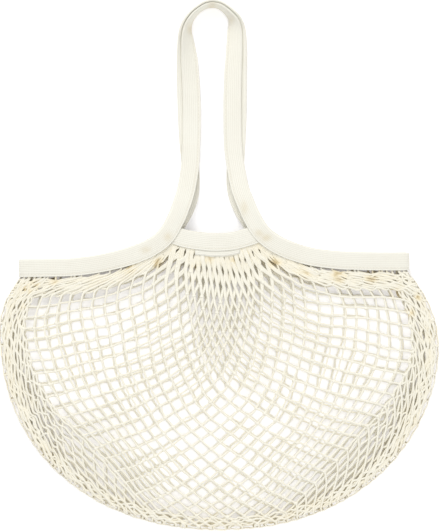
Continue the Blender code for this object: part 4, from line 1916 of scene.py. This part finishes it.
@dataclass(frozen=True)
class CottonFinish:
    """What all cotton finishes share: mottled tones, short fibres and a soft sheen.

    Attributes:
        name: The material's name.
        light: Its lightest tone.
        warm: Its warmest tone.
        roughness: Its roughness in the mean.
        fibre_roughness: How far the fibres change that.
        sheen: Strength of its sheen.
        sheen_roughness: How widely the sheen spreads.
        specular: Strength of its reflections.
        relief_depth: Depth of its relief, in metres.
        relief_strength: How strongly the relief shows.
        fibre_relief: Share of the fibres in it.
    """

    name: str
    light: Colour
    warm: Colour
    roughness: float = 0.92
    fibre_roughness: float = 0.1
    sheen: float = 0.25
    sheen_roughness: float = 0.5
    specular: float = 0.25
    relief_depth: float = 0.00022
    relief_strength: float = 0.6
    fibre_relief: float = 0.6

    def coloured(self, parts: CottonShader, colour: Socket) -> Socket:
        """The mottled colour with a finish's own markings; a plain one has none."""
        return colour

    def relief(self, parts: CottonShader) -> Socket | None:
        """A finish's relief, from 0 to about 1; a plain one has none."""
        return None

    def material(self, groups: CottonGroups) -> Material:
        """Builds the material.

        Args:
            groups: The shared node groups.

        Returns:
            The material.
        """
        material, nodes, shader = new_material(self.name)
        mottle = nodes.add("ShaderNodeGroup", node_tree=groups.mottle).outputs
        parts = CottonShader(nodes, groups, mottle["Tone"], mottle["Fibre"])
        colour = self.coloured(parts, nodes.mix(parts.tone, self.light, self.warm))
        nodes.put(colour, shader.inputs["Base Color"])
        rough = nodes.maths("MULTIPLY", parts.fibre, self.fibre_roughness)
        rough = nodes.maths("ADD", rough, self.roughness - self.fibre_roughness / 2)
        nodes.put(rough, shader.inputs["Roughness"])
        shader.inputs["Sheen Weight"].default_value = self.sheen
        shader.inputs["Sheen Roughness"].default_value = self.sheen_roughness
        shader.inputs["Specular IOR Level"].default_value = self.specular
        height = self.relief(parts)
        if height is not None:
            fibres = nodes.maths("MULTIPLY", parts.fibre, self.fibre_relief)
            raised = nodes.add("ShaderNodeBump", in_Height=nodes.maths("ADD", height, fibres))
            nodes.put(self.relief_strength, raised.inputs["Strength"])
            nodes.put(self.relief_depth, raised.inputs["Distance"])
            nodes.put(raised.outputs["Normal"], shader.inputs["Normal"])
        return material


@dataclass(frozen=True)
class YarnFinish(CottonFinish):
    """Soft undyed cotton yarn, with painted shade: warmer where strands crowd and shade one another,
    darker in hollows among them and in the grooves between its plies.

    Attributes:
        ply_groove_shade: Painted shade in the grooves between the plies.
        groove_shade_depth: How strongly it shows.
        crowded_and_shaded: Painted shade where strands crowd.
        crowded_shade_gain: How fast it takes over.
        hollow_shade: Darker painted shade in a hollow among them.
        hollow_shade_from: Depth of painted shade from which the darker shade of a hollow begins.
        hollow_shade_gain: How fast its colour takes over from there.
    """

    light: Colour = (0.945, 0.92, 0.825)
    warm: Colour = (0.925, 0.885, 0.755)
    # Painted shade in the grooves between the plies.
    ply_groove_shade: Colour = (0.82, 0.79, 0.67)
    groove_shade_depth: float = 0.45
    # Painted shade where strands crowd, and darker in hollows among them.
    crowded_and_shaded: Colour = (0.93, 0.81, 0.54)
    crowded_shade_gain: float = 2.0
    hollow_shade: Colour = (0.46, 0.35, 0.18)
    hollow_shade_from: float = 0.5
    hollow_shade_gain: float = 2.6

    def coloured(self, parts: CottonShader, colour: Socket) -> Socket:
        """The colour with painted shade in the grooves between the plies, on crowded stretches and in
        hollows.
        """
        maths, mix = parts.nodes.maths, parts.nodes.mix
        # Painted shade in the grooves between the plies.
        groove_shade = maths("MULTIPLY", maths("SUBTRACT", 1.0, self.relief(parts)), self.groove_shade_depth)
        colour = mix(groove_shade, colour, self.ply_groove_shade)
        # Painted shade where strands crowd, and darker painted shade in hollows among them.
        near = parts.painted_shade()
        patchy_shade = maths("MULTIPLY", maths("MULTIPLY", near, self.crowded_shade_gain), parts.tone)
        colour = mix(maths("MINIMUM", patchy_shade, 1.0), colour, self.crowded_and_shaded)
        deep_shade = maths("MAXIMUM", maths("SUBTRACT", near, self.hollow_shade_from), 0.0)
        deep_shade = maths("MULTIPLY", deep_shade, maths("MULTIPLY", parts.tone, self.hollow_shade_gain))
        return mix(maths("MINIMUM", deep_shade, 1.0), colour, self.hollow_shade)

    def relief(self, parts: CottonShader) -> Socket:
        """The plies."""
        return parts.group_output(parts.groups.twist, "Ply")


@dataclass(frozen=True)
class TapeFinish(CottonFinish):
    """Ribbed knitted cotton tape, a little less white than the net, with painted shade between its
    ribs, in its sewn groove and in spots at its creases.

    Attributes:
        rib_groove_shade: Painted shade between the ribs.
        rib_power: How narrow the grooves between them are.
        rib_contrast: How strongly they show in the mean.
        rib_patches: How small the patches are over which that changes, per metre.
        seam: Painted shade in the sewn groove beside the open edge.
        seam_shade_depth: How strongly it shows.
        crease_shade: Painted shade in spots at the cloth's creases.
        crease_shade_gain: How strongly it shows.
        stitch_relief: Share of the knit's stitches in the relief.
    """

    light: Colour = (0.885, 0.872, 0.79)
    warm: Colour = (0.84, 0.815, 0.72)
    roughness: float = 0.9
    sheen: float = 0.2
    relief_depth: float = 0.00025
    relief_strength: float = 0.7
    fibre_relief: float = 0.3
    # Painted shade between the ribs.
    rib_groove_shade: Colour = (0.75, 0.725, 0.63)
    rib_power: float = 1.6
    rib_contrast: float = 1.2
    rib_patches: float = 45.0
    # Painted shade in the sewn groove beside the open edge.
    seam: Colour = (0.66, 0.63, 0.53)
    seam_shade_depth: float = 0.55
    # Painted shade in spots at the cloth's creases.
    crease_shade: Colour = (0.74, 0.67, 0.51)
    crease_shade_gain: float = 1.3
    stitch_relief: float = 0.45

    def coloured(self, parts: CottonShader, colour: Socket) -> Socket:
        """The colour with painted shade between the ribs, in the seam's groove and in spots at the
        creases.
        """
        maths, mix, rib = parts.nodes.maths, parts.nodes.mix, parts.groups.rib
        # Painted shade between the ribs, stronger in some patches.
        groove_shade = maths("SUBTRACT", 1.0, parts.group_output(rib, "Rib"))
        uneven = maths("MULTIPLY", parts.nodes.noise(self.rib_patches), self.rib_contrast)
        groove_shade = maths("MULTIPLY", maths("POWER", groove_shade, self.rib_power), uneven)
        colour = mix(groove_shade, colour, self.rib_groove_shade)
        # Painted shade in the sewn groove beside the open edge.
        seam_groove_shade = maths("MULTIPLY", parts.group_output(rib, "Seam"), self.seam_shade_depth)
        colour = mix(seam_groove_shade, colour, self.seam)
        # Painted shade in spots at the cloth's creases, read from the mesh's shade attribute.
        strength = maths("MULTIPLY", parts.tone, self.crease_shade_gain)
        return mix(maths("MULTIPLY", parts.painted_shade(), strength), colour, self.crease_shade)

    def relief(self, parts: CottonShader) -> Socket:
        """The ribs, with the knit's stitches."""
        rib = parts.groups.rib
        loops = parts.group_output(rib, "Stitch")
        loops = parts.nodes.maths("MULTIPLY", loops, self.stitch_relief)
        return parts.nodes.maths("ADD", parts.group_output(rib, "Rib"), loops)


@dataclass(frozen=True)
class ThreadFinish(CottonFinish):
    """Plain sewing thread, without sheen or relief."""

    light: Colour = (0.92, 0.89, 0.79)
    warm: Colour = (0.86, 0.81, 0.68)
    roughness: float = 0.75
    fibre_roughness: float = 0.2
    sheen: float = 0.0
    specular: float = 0.5


@dataclass
class Studio:
    """Pale back-lit floor, soft light from the handles' side and a camera straight above.

    Attributes:
        floor_size: Side of the floor, in metres like all lengths here.
        floor_colour: Its lightest tone.
        floor_grain: How much of that is left in its darkest tone.
        grain_scale: How fine its grain is.
        floor_roughness: Its roughness.
        floor_specular: Strength of its reflections.
        floor_glow_colour: Colour of its own light.
        floor_glow: Strength of its own light.
        camera_height: Height of the camera.
        focus_height: Height at which a pixel of the photograph is a millimetre.
        sensor: Height of the camera's sensor, in millimetres.
        origin_pixel: Where the frame's origin lies in the photograph.
        sky_strength: Strength of the white sky.
        key_power: Power of the key light, in watts.
        key_place: Where it stands.
        key_size: Its side.
        fill_power: Power of the fill light, in watts.
        fill_place: Where it stands.
        fill_size: Its side.
    """

    floor_size: float = 9.0
    floor_colour: Colour = (0.97, 0.97, 0.975)
    floor_grain: float = 0.99
    grain_scale: float = 30.0
    floor_roughness: float = 0.9
    floor_specular: float = 0.1
    floor_glow_colour: Colour = (0.98, 0.95, 1.0)
    floor_glow: float = 0.2
    camera_height: float = 2.0
    focus_height: float = 0.006
    sensor: float = 24.0
    origin_pixel: Pair = (220.0, 241.0)
    sky_strength: float = 0.71
    key_power: float = 18.0
    key_place: Triple = (-0.55, 1.5, 1.15)
    key_size: float = 0.9
    fill_power: float = 12.0
    fill_place: Triple = (0.9, -1.2, 1.6)
    fill_size: float = 1.6

    def build_floor(self) -> None:
        """Lays the floor."""
        bm = bmesh.new()
        bmesh.ops.create_grid(bm, x_segments=1, y_segments=1, size=self.floor_size / 2)
        material, nodes, shader = new_material("paper_floor")
        shade = tuple(self.floor_grain * c for c in self.floor_colour)
        colour = nodes.mix(nodes.noise(self.grain_scale), self.floor_colour, shade)
        nodes.put(colour, shader.inputs["Base Color"])
        shader.inputs["Roughness"].default_value = self.floor_roughness
        shader.inputs["Specular IOR Level"].default_value = self.floor_specular
        shader.inputs["Emission Color"].default_value = (*self.floor_glow_colour, 1.0)
        shader.inputs["Emission Strength"].default_value = self.floor_glow
        floor = finish_piece("floor", bm, material)

    def add_light(self, name: str, power: float, place: Triple, size: float) -> None:
        """Adds a soft square light that faces the bag.

        Args:
            name: Its name.
            power: Its power in watts.
            place: Where it stands, in metres.
            size: Its side, in metres.
        """
        lamp = bpy.data.lights.new(name, "AREA")
        lamp.energy = power
        lamp.size = size
        light = bpy.data.objects.new(name, lamp)
        light.location = place
        light.rotation_euler = (-Vector(place)).to_track_quat("-Z", "Y").to_euler()
        bpy.context.scene.collection.objects.link(light)

    def build_lights(self) -> None:
        """Adds the sky, the key light and the fill light."""
        world = bpy.data.worlds.new("studio")
        world.use_nodes = True
        background = world.node_tree.nodes["Background"]
        background.inputs["Color"].default_value = (1.0, 1.0, 1.0, 1.0)
        background.inputs["Strength"].default_value = self.sky_strength
        bpy.context.scene.world = world
        self.add_light("key", self.key_power, self.key_place, self.key_size)
        self.add_light("fill", self.fill_power, self.fill_place, self.fill_size)
        bpy.context.scene.view_settings.view_transform = "Standard"

    def build_camera(self) -> None:
        """Sets the camera above the photograph's middle, with its height in view."""
        camera = bpy.data.cameras.new("camera")
        camera.sensor_fit = "VERTICAL"
        camera.sensor_height = self.sensor
        distance = self.camera_height - self.focus_height
        camera.lens = self.sensor * distance / (PHOTO_HEIGHT * MM)
        seen = bpy.data.objects.new("camera", camera)
        x = (PHOTO_WIDTH / 2 - self.origin_pixel[0]) * MM
        y = (self.origin_pixel[1] - PHOTO_HEIGHT / 2) * MM
        seen.location = (x, y, self.camera_height)
        bpy.context.scene.collection.objects.link(seen)
        bpy.context.scene.camera = seen

    def build(self) -> None:
        """Builds the floor, the lights and the camera."""
        self.build_floor()
        self.build_lights()
        self.build_camera()


def main() -> None:
    """Builds the bag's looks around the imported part."""
    logging.basicConfig(level=logging.INFO, format="%(name)s: %(message)s")
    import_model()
    groups = CottonGroups(cotton_mottle_group(), yarn_twist_group(), knit_rib_group())
    yarn = YarnFinish("cotton_yarn").material(groups)
    tape = TapeFinish("ribbed_cotton_tape").material(groups)
    thread = ThreadFinish("cotton_thread").material(groups)
    plan = BagPlan()
    for layer in Layer:
        NetLayer(plan, layer).build(yarn)
    LongTape("long_tape_cloth", plan).build(tape, thread)
    for layer in Layer:
        MiddleTape(f"{layer.value}_middle_cloth", plan, layer=layer).build(tape, thread)
    Studio().build()


if __name__ == "__main__":
    main()
